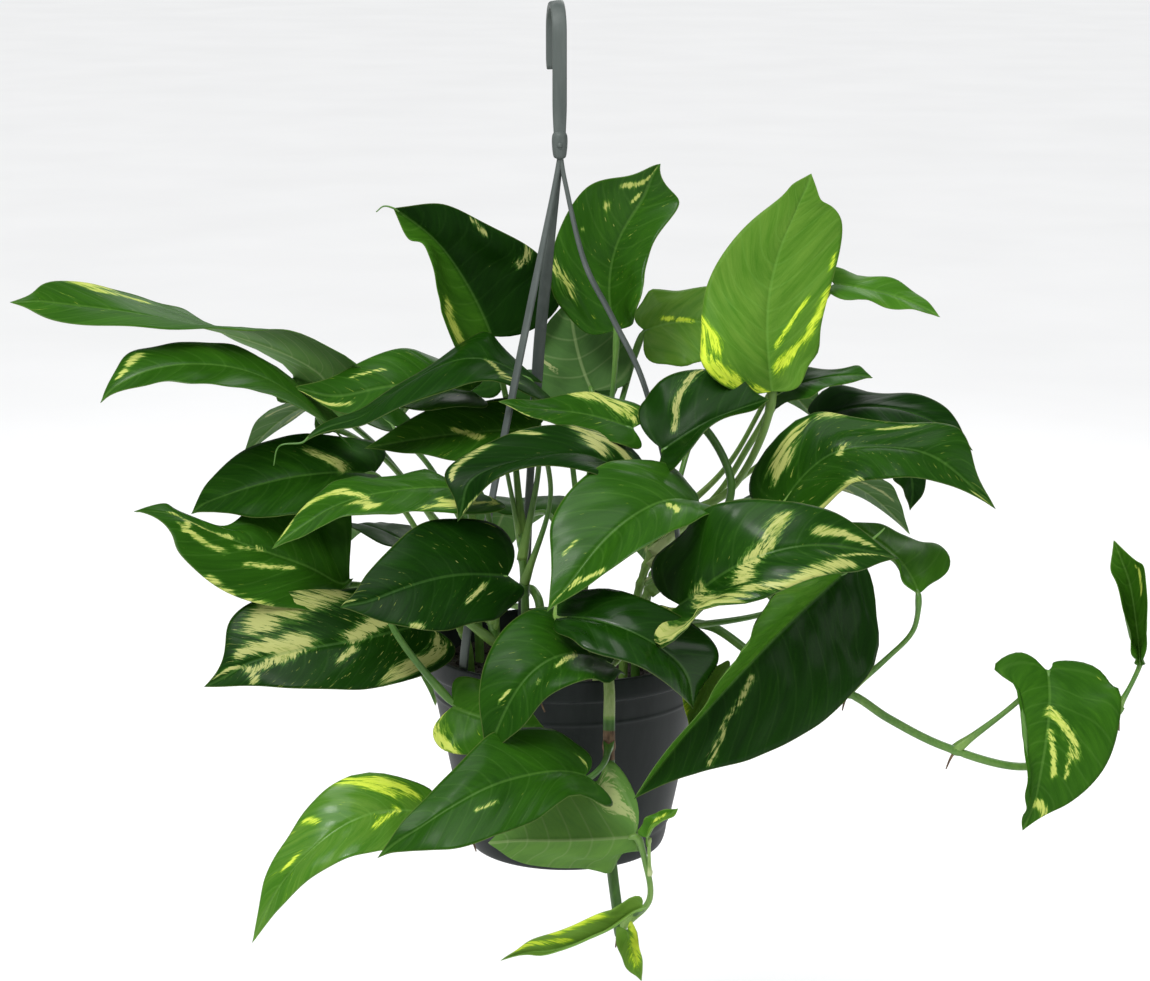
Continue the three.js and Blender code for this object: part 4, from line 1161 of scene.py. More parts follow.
def lay_streaks(one, frames):
    """Finds the places on the blade that are seen at the ends of each pale streak."""
    rows = heart_rows(*FIT_ROWS, one["lobe"])
    points, _, _ = blade_surface(one, frames, *rows, FIT_ACROSS)
    seen, _ = seen_at(points)
    across = np.broadcast_to(FIT_ACROSS, seen.shape[:2])
    sweep = rows[0][:, None] - VEIN_SWEEP * across ** 2
    for line in one["pale"]:
        places = []
        for pixel in line["ends"]:
            k = nearest(((seen - pixel) ** 2).sum(-1))
            places += [twentieth(sweep[k]), twentieth(across[k])]
        one["streaks"].append((*places, round(line["wide"] * MM_PER_PIXEL * 2) / 2))


def fit(one):
    frames = blade_frames(one)
    if one["together"]:
        pull_together(one, frames)
    else:
        pull_in_turn(one, frames)
    lay_streaks(one, frames)


print("streak helpers ready")

# %% Building a blade
STALK = 0                 # the numbers of the two finishes on a leafy stem
LEAF = 1
BLADE_THICK = 0.55
RIB_DEPTH = 1.1           # how far the midrib stands out under the blade
QUILT = 0.28              # how far the blade swells between two side veins
ROWS = (15, 46)           # behind and in front of the notch
COLUMNS = 35
SMALL_WIDTH = 26          # a narrower leaf gets a coarser grid
SMALL_ROWS = (8, 24)
SMALL_COLUMNS = 19
SEED_STEP = 3.7           # keeps the noise of one leaf away from the next one's


def wanted_cream(one, sweep, across, chord):
    """How much cream is wanted at each point. A streak runs between two places on the leaf, each given
    as a share of the midrib and a share of the half width, and its half width is in millimetres.
    Most streaks are the leaf's own pale sectors; a few broad ones paint light onto leaves that sit in shade."""
    cream = np.zeros(sweep.shape)
    span = one["width"] / 2
    for from_s, from_v, to_s, to_v, wide in one["streaks"]:
        start = np.array([from_s * chord, from_v * span])
        way = np.array([to_s * chord, to_v * span]) - start
        here = np.stack([sweep * chord, across * span], -1) - start
        along = np.clip(here @ way / max(way @ way, 1e-6), 0, 1)
        gap = np.linalg.norm(here - along[..., None] * way, axis=-1)
        cream = np.maximum(cream, np.exp(-(gap / wide) ** 2 * 0.7))
    return cream


def side_tone(one, reach):
    """How green the leaf is. Its two halves may differ, and they blend over the midrib.
    On some leaves the lighter half is painted light on a fold or lobe turned to the lamps.
    """
    left, right = one["tone"]
    return left + (right - left) * smoothstep(-3, 3, reach)


def add_blade(skin, one, seed):
    small = one["width"] < SMALL_WIDTH
    rib, margin, half = heart_rows(*(SMALL_ROWS if small else ROWS), one["lobe"])
    spread = np.linspace(-1, 1, SMALL_COLUMNS if small else COLUMNS)
    across = np.sign(spread) * np.abs(spread) ** 1.15
    frames = blade_frames(one)
    chord = chord_of(frames)
    points, reach, _ = blade_surface(one, frames, rib, margin, half, across)
    rows, columns = reach.shape
    share = np.broadcast_to(across, reach.shape)
    sweep = rib[:, None] - VEIN_SWEEP * share ** 2
    grid = grid_faces(rows, columns)
    flat = points.reshape(-1, 3)
    normals = surface_normals(flat, grid).reshape(points.shape)
    mm_along = sweep * chord
    veins = 0.5 - 0.5 * np.cos(2 * math.pi * mm_along / VEIN_SPACING)
    body = np.abs(share) ** 0.7 * (1 - np.abs(share) ** 6) * half[:, None]
    draw = random.Random(seed)
    swell = QUILT * veins * body
    for _ in range(4):
        turn, wave, phase = draw.uniform(0, math.pi), draw.uniform(16, 34), draw.uniform(0, 2 * math.pi)
        run = mm_along * math.cos(turn) + reach * math.sin(turn)
        roll = 0.22 * np.sin(2 * math.pi * run / wave + phase)
        swell = swell + roll * np.minimum(np.abs(reach) / 4, 1) * half[:, None]
    groove = 0.42 * np.exp(-(reach / 0.9) ** 2)
    keel = RIB_DEPTH * np.exp(-(reach / 1.0) ** 2) * (1 - 0.85 * rib[:, None])
    thick = BLADE_THICK * (0.45 + 0.55 * (1 - np.abs(share) ** 8)) / 2
    upper = points + normals * (swell + thick - groove)[..., None]
    lower = points + normals * (swell - thick - keel)[..., None]
    tips_at = pulled(one, frames, frames["at"][[0, -1]], np.array([0.0, 1.0]), np.zeros(2))
    look = {
        "leaf_place": np.stack([mm_along, reach, np.full(reach.shape, seed * SEED_STEP)], -1).reshape(-1, 3),
        "leaf_look": np.stack([side_tone(one, reach), wanted_cream(one, sweep, share, chord),
                               np.full(reach.shape, one["fleck"])], -1).reshape(-1, 3),
    }
    to_margin = (1 - np.abs(share)) * half[:, None] * one["width"] / 2
    tips = np.array([(0, 0, seed * SEED_STEP), (chord, 0, seed * SEED_STEP)])
    tip_look = np.array([(sum(one["tone"]) / 2, 0, one["fleck"])] * 2)
    for surface, under, lift in ((upper, 0, 1), (lower, 1, -1)):
        ends = tips_at + lift * thick.min() * frames["up"][[0, -1]]
        first, last = rows * columns, rows * columns + 1
        faces = list(grid)
        for column in range(columns - 1):
            faces.append((first, column + 1, column))
            faces.append((last, (rows - 1) * columns + column, (rows - 1) * columns + column + 1))
        if under:
            faces = [face[::-1] for face in faces]
        side = np.stack([np.full(reach.shape, under), to_margin, np.full(reach.shape, one["gloss"])], -1)
        skin.add(np.vstack([surface.reshape(-1, 3), ends]), faces, LEAF,
                 leaf_place=np.vstack([look["leaf_place"], tips]),
                 leaf_look=np.vstack([look["leaf_look"], tip_look]),
                 leaf_side=np.vstack([side.reshape(-1, 3), [(under, 0.5, one["gloss"])] * 2]))
    add_rim(skin, rows, columns)


def add_rim(skin, rows, columns):
    """Joins the two faces just added all the way round their margin."""
    per_face = rows * columns + 2
    top = skin.count - 2 * per_face
    ring = [rows * columns] + [row * columns + columns - 1 for row in range(rows)]
    ring += [rows * columns + 1] + [row * columns for row in range(rows - 1, -1, -1)]
    for a, b in zip(ring, ring[1:] + ring[:1]):
        skin.faces.append((top + b, top + a, top + a + per_face, top + b + per_face))
        skin.materials.append(LEAF)


print("blade builder ready")

# %% [markdown]
# ## Stalks and stems
# A leaf stalk clasps the stem with two thin wings, runs on as a grooved round rod, and thickens again
# just under the blade where it bends towards the light. A stem is a little thicker, with a ring at each
# node where a stalk leaves it, and short brown aerial roots under some of the nodes.

# %% Stalks
STALK_RADIUS = 1.75
STALK_CORNERS = 16
STALK_STEPS = 44
STEM_RADIUS = 2.5
STEM_CORNERS = 18


def add_stalk(skin, one, light):
    frames = blade_frames(one)
    under = frame_at(frames, np.array([0.05]))
    meet = frames["at"][0] - frames["up"][0] * STALK_RADIUS * 0.62
    onward = under["at"][0] - under["up"][0] * STALK_RADIUS * 0.5
    slim = min(1.0, 0.4 + one["width"] / 90) * one["stout"]
    path = smooth_route([one["start"], *one["bend"], meet, onward], STALK_STEPS)
    run = np.linspace(0, 1, STALK_STEPS)[:, None]
    turns = np.linspace(0, 2 * math.pi, STALK_CORNERS, endpoint=False)[None, :]
    clasp = 0.45 * np.exp(-((run - 0.02) / 0.1) ** 2)
    knee = 0.22 * np.exp(-((run - 0.9) / 0.05) ** 2)
    radius = STALK_RADIUS * slim * (1 - 0.12 * np.sin(math.pi * run) + clasp + knee)
    radius = radius * (1 - 0.45 * smoothstep(0.95, 1, run))
    from_top = np.abs(turns - math.pi / 2)
    groove = 0.3 * np.exp(-(from_top / 0.42) ** 2)
    wings = 0.55 * (1 - smoothstep(0.1, 0.5, run)) * np.exp(-((from_top - 0.75) / 0.3) ** 2)
    shape = radius * (1 - groove + wings)
    points, faces = swept(path, shape * np.sin(turns), shape * np.cos(turns))
    along = np.append(np.repeat(run[:, 0] * 100, STALK_CORNERS), [0, 100])
    pale = light + 0.25 * (1 - smoothstep(0, 0.35, along / 100))
    brown = 0.16 * np.exp(-(along / 4) ** 2)
    skin.add(points, faces, STALK, stalk_look=np.column_stack([along, brown, pale]))


def add_taper(skin, stops, steps, corners, thick, thin, look):
    """A round rod along a curve, which gets thinner towards its end."""
    path = smooth_route(stops, steps)
    turns = np.linspace(0, 2 * math.pi, corners, endpoint=False)[None, :]
    radius = np.linspace(thick, thin, steps)[:, None] * np.ones_like(turns)
    points, faces = swept(path, radius * np.sin(turns), radius * np.cos(turns))
    skin.add(points, faces, STALK, stalk_look=np.tile(look, (len(points), 1)))


def add_tail(skin, one):
    """The tip drawn out to a thin curled thread. Its points are given as moves from the tip."""
    frames = blade_frames(one)
    tip = pulled(one, frames, frames["at"][-1:], np.array([1.0]), np.zeros(1))[0]
    stops = [tip - frames["along"][-1] * 4, tip, *(tip + np.array(one["tail"], float))]
    add_taper(skin, stops, 26, 8, 0.65, 0.3, look=(0, 0.1, 0.4))


def add_root(skin, place, way, length):
    """A short aerial root: a curved brown peg with a blunt tip."""
    way = unit(np.array(way, float))
    stops = [place, place + way * length * 0.5, place + way * length + (0, 0, -0.25 * length)]
    add_taper(skin, stops, 9, 9, 0.95, 0.35, look=(0, 0.75, 0.5))


print("stalk builder ready")

# %% Stems
HOLE_DEPTH = 24
NODE_REACH = 6            # a stalk that starts this near to the stem has a ring there
LONG_STEM = 110           # a stem longer than this has aerial roots


def stem(node, root, route, leaves, brown=(), pale=(), light=0.45, slim=1.0, roots=()):
    """One stem. It is brown or pale between the heights given as (low, high), and away from the soil
    its thickness changes to the share `slim`. Extra aerial roots are (place, way, length)."""
    return {"node": node, "root": root, "route": route, "leaves": leaves, "brown": brown, "pale": pale,
            "light": light, "slim": slim, "roots": roots}


def between(heights, low, high):
    return smoothstep(low - 2, low + 2, heights) * (1 - smoothstep(high - 2, high + 2, heights))


def stem_path(plant):
    x, y = plant["root"]
    foot = SOIL_TOP - HOLE_DEPTH
    return [(x, y, foot), (x, y, foot + 12), (x, y, SOIL_TOP + 4), *plant["route"]]


def add_stem(skin, plant, draw):
    stops = stem_path(plant)
    steps = 26 + 12 * len(stops)
    path = smooth_route(stops, steps)
    run = np.concatenate([[0], np.cumsum(np.linalg.norm(np.diff(path, axis=0), axis=1))])
    turns = np.linspace(0, 2 * math.pi, STEM_CORNERS, endpoint=False)[None, :]
    radius = STEM_RADIUS * (1 - (1 - plant["slim"]) * smoothstep(40, 110, run)) * (1 - 0.2 * run / run[-1])
    brown = 0.5 * np.exp(-(run / 26) ** 2)
    for one in plant["leaves"]:
        gaps = np.linalg.norm(path - np.array(one["start"]), axis=1)
        if gaps.min() > NODE_REACH:
            continue
        at = run[gaps.argmin()]
        radius = radius + 0.5 * np.exp(-((run - at) / 1.8) ** 2)
        radius = radius - 0.22 * np.exp(-((run - at - 3.4) / 0.8) ** 2)
        brown = brown + 0.32 * np.exp(-((run - at - 3) / 1.5) ** 2)
        if run[-1] > LONG_STEM and at > 45:
            side = np.array([draw.uniform(-1, 1), draw.uniform(-0.6, 0.2), -1.2])
            add_root(skin, path[gaps.argmin()], side, STEM_RADIUS + draw.uniform(3.5, 6.5))
    light = np.full(len(run), float(plant["light"]))
    for low, high in plant["brown"]:
        brown = np.maximum(brown, 0.8 * between(path[:, 2], low, high) * (run > 50))
    for low, high in plant["pale"]:
        light = light + (0.9 - light) * between(path[:, 2], low, high) * (run > 30)
    for place, way, length in plant["roots"]:
        add_root(skin, np.array(place, float), way, length)
    ribs = 1 + 0.045 * np.cos(5 * turns) + 0.02 * np.cos(9 * turns + 1)
    shape = radius[:, None] * ribs
    points, faces = swept(path, shape * np.sin(turns), shape * np.cos(turns), (1, 0, 0))
    along = np.append(np.repeat(run, STEM_CORNERS), [0, run[-1]])
    dark = np.append(np.repeat(brown, STEM_CORNERS), [brown[0], brown[-1]])
    shade = np.append(np.repeat(light, STEM_CORNERS), [light[0], light[-1]])
    skin.add(points, faces, STALK, stalk_look=np.column_stack([along, dark, shade]))


print("stem builder ready")

# %% [markdown]
# ## The plant
# Every stem rises from its hole in the soil and leans its own way. Long stalks lift the upper leaves
# and turn their faces to the light, while the trailing stems hang over the rim. The lists say where
# each leaf's stalk starts, where its blade's midrib runs, how wide, folded and curled it is, and how
# green, glossy and flecked it looks. On a few leaves part of that green and some broad pale streaks are
# painted light: a lighter half on a fold turned to the lamps, a paler wash where a leaf sits in shade,
# the glow of the back light through a thin blade. Leaves that face the camera also have goals and pale
# streaks in pixels of its picture. Those at the back have their streaks in shares of the leaf.

# %% The stems
stems = [
    stem("stem_far_left", root=(-46, 8), light=0.5, route=[
        (-48, 8, 125), (-62, 8, 165)], leaves=[
        leaf(start=(-60, 8, 160), bend=[(-98, 26, 208)], base=(-130, 32, 237),
             mid=[(-150, 20, 263), (-222, -18, 291)], tip=(-284, -35, 299), face=(0, -0.2, 0.98), width=62,
             curl=-8, twist=-80, tone=0.56, gloss=0.45, fleck=0.6, together=True,
             goals=[right(0.92, 14, at=(28, 296)), right(0.8, 18, at=(62, 283)),
                    right(0.55, 22, at=(150, 300)), right(0.35, 20, at=(212, 328)),
                    left(0.8, 18, at=(62, 322)), left(0.45, 20, at=(236, 331)),
                    left(0.33, 20, at=(296, 333))],
             pale=[streak(4, at=(68, 283), to=(118, 281)), streak(2, at=(100, 292), to=(155, 305))]),
        leaf(start=(-62, 8, 164), bend=[(-94, 14, 205), (-113, 2, 222)], base=(-123, -10, 230),
             mid=[(-179, -34, 267)], tip=(-233, -46, 246), face=(-0.05, -0.4, 0.9), width=52, fold=(18, 6),
             curl=(-4, -20), gloss=0.62,
             goals=[right(0.92, 12, at=(109, 386)), right(0.8, 14, at=(128, 355)),
                    right(0.25, 16, at=(262, 357)), left(0.45, 20, at=(228, 386)),
                    left(0.25, 18, at=(272, 397))],
             pale=[streak(4, at=(118, 378), to=(135, 358))]),
    ]),
    stem("stem_low_left", root=(-50, -22), light=0.55, route=[
        (-52, -24, 118), (-62, -26, 140)], leaves=[
        leaf(start=(-60, -26, 136), bend=[(-86, -30, 146)], base=(-112, -38, 151),
             mid=[(-142, -48, 150), (-188, -58, 173)], tip=(-224, -50, 190), face=(-0.2, -0.6, 0.75),
             width=62, fold=(32, 22), curl=(-6, -16), tone=0.46, fleck=0.4,
             goals=[rib(0.3, 28, at=(308, 574)), rib(0.6, 28, at=(235, 541)),
                    rib(0.86, 20, at=(172, 514)), left(0.65, 18, at=(190, 561)),
                    left(0.8, 14, at=(173, 532)), left(0.45, 18, at=(238, 600)),
                    left(0.25, 20, at=(298, 609)), left(0.16, 16, at=(340, 597)),
                    right(0.16, 16, at=(345, 500)), right(0.25, 18, at=(298, 482)),
                    right(0.45, 16, at=(256, 500)), right(0.65, 14, at=(226, 526)),
                    right(0.8, 12, at=(177, 511))],
             pale=[streak(3, at=(172, 513), to=(183, 528)), streak(2.5, at=(185, 520), to=(235, 540)),
                   streak(3, at=(180, 525), to=(220, 552)), streak(3, at=(235, 545), to=(262, 550)),
                   streak(2, at=(255, 568), to=(295, 568)), streak(2, at=(210, 580), to=(225, 595)),
                   streak(2, at=(240, 598), to=(275, 608))]),
        leaf(start=(-62, -26, 139), bend=[(-80, -18, 180)], base=(-99, -20, 206), mid=[(-147, -32, 205)],
             tip=(-192, -28, 184), face=(-0.1, -0.55, 0.83), width=58, curl=-20, tone=0.3, gloss=0.35,
             fleck=0.3,
             goals=[right(0.92, 12, at=(199, 500)), right(0.8, 14, at=(213, 482)),
                    right(0.55, 18, at=(248, 449)), left(0.8, 16, at=(224, 512))],
             pale=[streak(5, at=(313, 452), to=(340, 466))]),
        leaf(start=(-53, -24, 122), bend=[(-62, -36, 136)], base=(-72, -58, 136), mid=[(-122, -82, 128)],
             tip=(-181, -88, 111), face=(-0.1, -0.85, 0.5), width=56, fold=8, curl=-16, tone=0.18,
             fleck=0.9,
             goals=[right(0.65, 22, at=(241, 618)), right(0.8, 14, at=(226, 643)),
                    right(0.45, 20, at=(280, 592)), left(0.8, 16, at=(257, 686)),
                    left(0.55, 20, at=(318, 690)), left(0.35, 20, at=(362, 690))],
             pale=[streak(5, at=(255, 628), to=(330, 590)), streak(6, at=(240, 655), to=(290, 645)),
                   streak(5, at=(250, 670), to=(300, 640)), streak(3, at=(215, 678), to=(250, 683)),
                   streak(4, at=(345, 640), to=(385, 615)), streak(3, at=(345, 660), to=(355, 650)),
                   streak(5, at=(400, 670), to=(440, 640))]),
    ]),
    stem("stem_front_left", root=(-33, -42), route=[
        (-34, -44, 118), (-38, -52, 136)], leaves=[
        leaf(start=(-37, -50, 132), bend=[(-31, -62, 158)], base=(-29, -82, 166), mid=[(-66, -108, 172)],
             tip=(-108, -118, 157), face=(-0.05, -0.85, 0.5), width=62, fold=8, tone=0.14, gloss=0.35,
             fleck=0.6,
             goals=[right(0.65, 16, at=(392, 548)), right(0.8, 12, at=(369, 574)),
                    left(0.25, 18, at=(473, 624)), left(0.16, 16, at=(508, 610)),
                    left(0.08, 14, at=(524, 593)), rib(1, 8, at=(342, 608))],
             pale=[streak(3, at=(468, 602), to=(487, 585)), streak(3, at=(342, 605), to=(355, 600)),
                   streak(2.5, at=(417, 625), to=(419, 626))]),
        leaf(start=(-35, -46, 122), bend=[(-70, -64, 150), (-88, -84, 147)], base=(-56, -90, 103),
             mid=[(-34, -98, 97)], tip=(-9, -96, 91), face=(-0.1, -0.9, 0.4), width=34, fold=12, curl=-16,
             tone=0.62, fleck=0.3, light=0.4, stout=1.4,
             goals=[right(0.16, 12, at=(436, 737)), right(0.25, 12, at=(452, 753))],
             pale=[streak(7, at=(438, 722), to=(442, 745))]),
        leaf(start=(-38, -52, 135), bend=[(-36, -56, 175)], base=(-44, -58, 206), mid=[(-97, -76, 207)],
             tip=(-146, -86, 182), face=(-0.05, -0.45, 0.9), width=54, fold=(12, 4), curl=(-10, -30),
             tone=0.52, gloss=0.5, fleck=0.4,
             goals=[left(0.65, 16, at=(345, 516)), left(0.45, 16, at=(385, 514)),
                    right(0.25, 18, at=(396, 476)), right(0.16, 18, at=(450, 482))],
             pale=[streak(3, at=(280, 540), to=(285, 508)), streak(4, at=(285, 505), to=(340, 492)),
                   streak(3, at=(330, 492), to=(370, 500)), streak(4, at=(350, 505), to=(370, 507)),
                   streak(4, at=(420, 507), to=(450, 507)), streak(3, at=(440, 500), to=(485, 485))]),
    ]),
    stem("stem_upper_left", root=(-22, 20), route=[
        (-22, 20, 130), (-24, 22, 165)], leaves=[
        leaf(start=(-23, 21, 150), bend=[(-14, 18, 210)], base=(-18, 15, 248), mid=[(-70, -13, 263)],
             tip=(-133, -49, 229), face=(-0.1, -0.6, 0.8), width=54, fold=(18, 0), curl=(-16, -24),
             tone=0.24, fleck=0.1, tail=[(-12, 0, -2), (-15, 0, -12)],
             goals=[right(0.25, 18, at=(478, 331)), right(0.45, 20, at=(436, 350)),
                    right(0.65, 20, at=(394, 384)), right(0.8, 16, at=(357, 411)),
                    left(0.8, 16, at=(367, 422)), left(0.65, 16, at=(402, 405))],
             pale=[streak(3, at=(490, 362), to=(507, 378))]),
        leaf(start=(-22, 20, 136), bend=[(-8, 10, 190)], base=(-16, 6, 224), mid=[(-56, -6, 224)],
             tip=(-104, -18, 219), face=(0, -0.6, 0.8), width=42, fold=12, gloss=0.3, fleck=0.8,
             pale=[streak(3, at=(455, 430), to=(478, 437))]),
        leaf(start=(-24, 22, 158), bend=[(-36, 22, 215)], base=(-50, 18, 242), mid=[(-90, 6, 245)],
             tip=(-128, -14, 243), face=(0, -0.5, 0.87), width=38, curl=-12, tone=0.48, gloss=0.6,
             fleck=0.7,
             goals=[rib(1, 16, at=(297, 387)), right(0.8, 14, at=(334, 379)),
                    right(0.65, 14, at=(352, 370)), right(0.45, 16, at=(382, 359)),
                    right(0.25, 18, at=(415, 350)), left(0.8, 14, at=(338, 411))],
             pale=[streak(2.5, at=(300, 398), to=(345, 405)), streak(1.5, at=(350, 378), to=(380, 370))]),
        # Its left half is set much lighter than the right: partly its own pale underside where that lobe
        # curls over, partly a painted highlight on the lobe.
        leaf(start=(-24, 22, 163), bend=[(-30, 34, 225)], base=(-40, 48, 266), mid=[(-60, 42, 306)],
             tip=(-90, 24, 338), face=(0.25, -0.95, 0.15), width=80, fold=(30, 8), curl=(30, -16),
             tone=(0.62, 0.14), gloss=0.3, tail=[(-5, 0, 1), (-9, 0, -2)],
             goals=[right(0.65, 18, at=(480, 219)), right(0.8, 16, at=(446, 206)),
                    right(0.45, 18, at=(518, 238)), right(0.25, 20, at=(548, 268)),
                    right(0.16, 18, at=(561, 303)), left(0.65, 20, at=(424, 250)),
                    left(0.45, 20, at=(438, 286)), left(0.25, 18, at=(441, 314))],
             pale=[streak(3, at=(478, 222), to=(485, 235)), streak(4, at=(522, 262), to=(530, 255)),
                   streak(3, at=(458, 335), to=(465, 343)), streak(5, at=(448, 300), to=(452, 325))]),
    ]),
    stem("stem_middle", root=(4, 26), route=[
        (4, 27, 130), (6, 32, 165)], leaves=[
        leaf(start=(6, 31, 160), bend=[(22, 30, 220)], base=(26, 27, 273), mid=[(27, 36, 316)],
             tip=(54, 30, 354), face=(-0.1, -0.98, 0.15), width=66, fold=(6, 24), curl=(-14, 10), twist=20,
             gloss=0.6, fleck=0.6, lobe=0.02,
             goals=[rib(1, 14, at=(657, 166)), right(0.8, 14, at=(682, 208)),
                    right(0.65, 16, at=(662, 238)), right(0.45, 18, at=(652, 260)),
                    right(0.25, 18, at=(644, 286)), right(0.16, 14, at=(636, 314)),
                    left(0.16, 14, at=(568, 316)), left(0.65, 14, at=(586, 192)),
                    left(0.8, 12, at=(614, 180))],
             pale=[streak(5, at=(555, 265), to=(568, 285)), streak(2.5, at=(607, 205), to=(608, 206)),
                   streak(1.5, at=(583, 228), to=(584, 229)), streak(3, at=(625, 185), to=(655, 170)),
                   streak(2, at=(630, 205), to=(640, 195))]),
        leaf(start=(5, 29, 150), bend=[(14, 44, 205)], base=(14, 46, 237), mid=[(6, 58, 258)],
             tip=(2, 66, 285), face=(0, 0.9, 0.4), width=54, fold=12, curl=-10, tone=0.3, gloss=0.2,
             pale=[streak(2, at=(540, 360), to=(555, 370))]),
        leaf(start=(6, 31, 155), bend=[(28, 48, 225)], base=(42, 56, 268), mid=[(75, 61, 272)],
             tip=(114, 60, 259), face=(0, -0.75, 0.65), width=56, curl=-12, tone=0.86, fleck=0.1,
             goals=[left(0.16, 14, at=(642, 302)), left(0.25, 16, at=(672, 289)),
                    left(0.45, 16, at=(703, 287))],
             pale=[streak(2, at=(660, 318), to=(690, 322))]),
    ]),
    stem("stem_centre", root=(6, -14), route=[
        (7, -14, 125), (12, -18, 160)], leaves=[
        leaf(start=(11, -17, 155), bend=[(28, -24, 205)], base=(34, -30, 232), mid=[(0, -32, 243)],
             tip=(-34, -32, 247), face=(0, -0.5, 0.87), width=38, curl=-12, tone=0.45, gloss=0.35,
             fleck=0.7,
             goals=[right(0.8, 12, at=(523, 396)), right(0.55, 16, at=(556, 394)),
                    right(0.35, 16, at=(584, 391)), right(0.25, 14, at=(600, 393))],
             pale=[streak(6, at=(578, 395), to=(600, 397)), streak(6, at=(600, 397), to=(618, 410)),
                   streak(1.5, at=(505, 405), to=(530, 425))]),
        leaf(start=(11, -18, 150), bend=[(30, -34, 190)], base=(36, -54, 208), mid=[(-3, -76, 225)],
             tip=(-50, -92, 197), face=(0.05, -0.6, 0.8), width=50, fold=12, curl=-18, tone=0.12, fleck=0.4,
             goals=[right(0.8, 16, at=(460, 472)), right(0.65, 18, at=(480, 449)),
                    right(0.45, 20, at=(520, 430)), left(0.8, 16, at=(498, 494)),
                    left(0.65, 18, at=(518, 480)), left(0.45, 20, at=(556, 472)),
                    left(0.25, 20, at=(596, 475))],
             pale=[streak(2.5, at=(510, 428), to=(535, 432)), streak(5, at=(585, 430), to=(600, 450)),
                   streak(3, at=(600, 440), to=(620, 455)), streak(2.5, at=(452, 480), to=(480, 447)),
                   streak(2, at=(465, 510), to=(480, 497))]),
        leaf(start=(12, -18, 157), bend=[(54, -42, 184)], base=(67, -64, 199), mid=[(34, -99, 201)],
             tip=(-12, -122, 154), face=(0.1, -0.65, 0.75), width=56, fold=(36, 10), gloss=0.6, fleck=0.3,
             goals=[right(0.65, 18, at=(558, 520)), right(0.8, 16, at=(553, 558)),
                    right(0.45, 20, at=(583, 480)), right(0.25, 18, at=(622, 460)),
                    rib(1, 8, at=(549, 610))],
             pale=[streak(1.5, at=(565, 555), to=(575, 545)), streak(2, at=(570, 590), to=(600, 575)),
                   streak(3, at=(665, 505), to=(680, 510)), streak(3, at=(555, 600), to=(585, 575))]),
    ]),
    stem("stem_right_tall", root=(36, 18), light=0.7, route=[
        (38, 18, 130), (50, 16, 170)], leaves=[
        # Its bright green is partly its own colour and partly painted light, standing for the back light
        # that glows through the thin blade.
        leaf(start=(48, 16, 165), bend=[(66, 12, 178), (86, 4, 192), (102, -2, 222)], base=(107, -5, 246),
             mid=[(105, 4, 283), (110, 10, 322)], tip=(124, 12, 358), face=(0.02, -0.97, 0.2), width=70,
             fold=8, curl=-12, tone=0.86, gloss=0.35, fleck=0.05, lobe=0.03, stout=1.4,
             pulls=[(0.1, -0.8, 26, (0, -28, 6))],
             goals=[right(0.92, 12, at=(816, 190)), right(0.65, 20, at=(843, 228)),
                    right(0.45, 22, at=(838, 278)), right(0.25, 22, at=(820, 335)),
                    right(0.16, 16, at=(807, 367)), left(0.8, 16, at=(778, 198)),
                    left(0.65, 18, at=(746, 229)), left(0.16, 16, at=(702, 370)),
                    right(0.8, 14, at=(829, 206))],
             pale=[streak(4, at=(697, 318), to=(718, 342)), streak(5, at=(699, 345), to=(710, 365)),
                   streak(5, at=(710, 365), to=(730, 380)), streak(4, at=(730, 380), to=(762, 390)),
                   streak(3, at=(775, 344), to=(804, 308)), streak(4.5, at=(778, 372), to=(808, 338)),
                   streak(4, at=(808, 338), to=(829, 290)), streak(1.5, at=(831, 270), to=(835, 250))]),
        leaf(start=(50, 16, 168), bend=[(84, 18, 200), (108, 20, 242)], base=(141, 20, 299),
             mid=[(169, 18, 294)], tip=(195, 10, 283), face=(0, -0.45, 0.88), width=27, curl=-12, tone=0.72,
             fleck=0, stout=1.3,
             goals=[left(0.25, 12, at=(866, 277))]),
        leaf(start=(46, 17, 155), bend=[(80, 12, 188), (97, 14, 215)], base=(112, 16, 241),
             mid=[(136, 10, 252)], tip=(160, 4, 252), face=(0, -0.4, 0.9), width=36, fold=12, curl=-12,
             tone=0.4, gloss=0.3, stout=1.5,
             goals=[left(0.45, 12, at=(828, 362)), left(0.65, 10, at=(847, 367)),
                    left(0.25, 12, at=(806, 366))]),
        leaf(start=(44, 17, 148), bend=[(100, 22, 200)], base=(137, 26, 226), mid=[(177, 14, 235)],
             tip=(222, 0, 211), face=(0.1, -0.6, 0.8), width=44, tone=0.12, gloss=0.3, fleck=0.1,
             goals=[rib(1, 20, at=(972, 448)), left(0.25, 16, at=(868, 388)),
                    left(0.45, 18, at=(907, 390)), left(0.65, 16, at=(938, 402)),
                    left(0.8, 14, at=(957, 421))]),
        leaf(start=(41, 18, 138), bend=[(108, 6, 170)], base=(172, 14, 210), mid=[(182, 14, 198)],
             tip=(182, 12, 179), face=(0.3, -0.8, 0.5), width=22, fold=12, curl=-10, tone=0.15, gloss=0.3,
             fleck=0.1),
    ]),
    stem("stem_right", root=(30, -22), light=0.65, route=[
        (32, -24, 120), (44, -28, 148)], leaves=[
        leaf(start=(43, -28, 145), bend=[(72, -26, 168), (85, -28, 203), (66, -22, 234)],
             base=(50, -38, 222), mid=[(76, -36, 237)], tip=(104, -30, 247), face=(-0.1, -0.75, 0.65),
             width=54, fold=(8, 38), curl=(-12, -8), tone=0.2, light=0.35, stout=1.5,
             goals=[left(0.45, 16, at=(690, 364)), left(0.25, 16, at=(655, 384)),
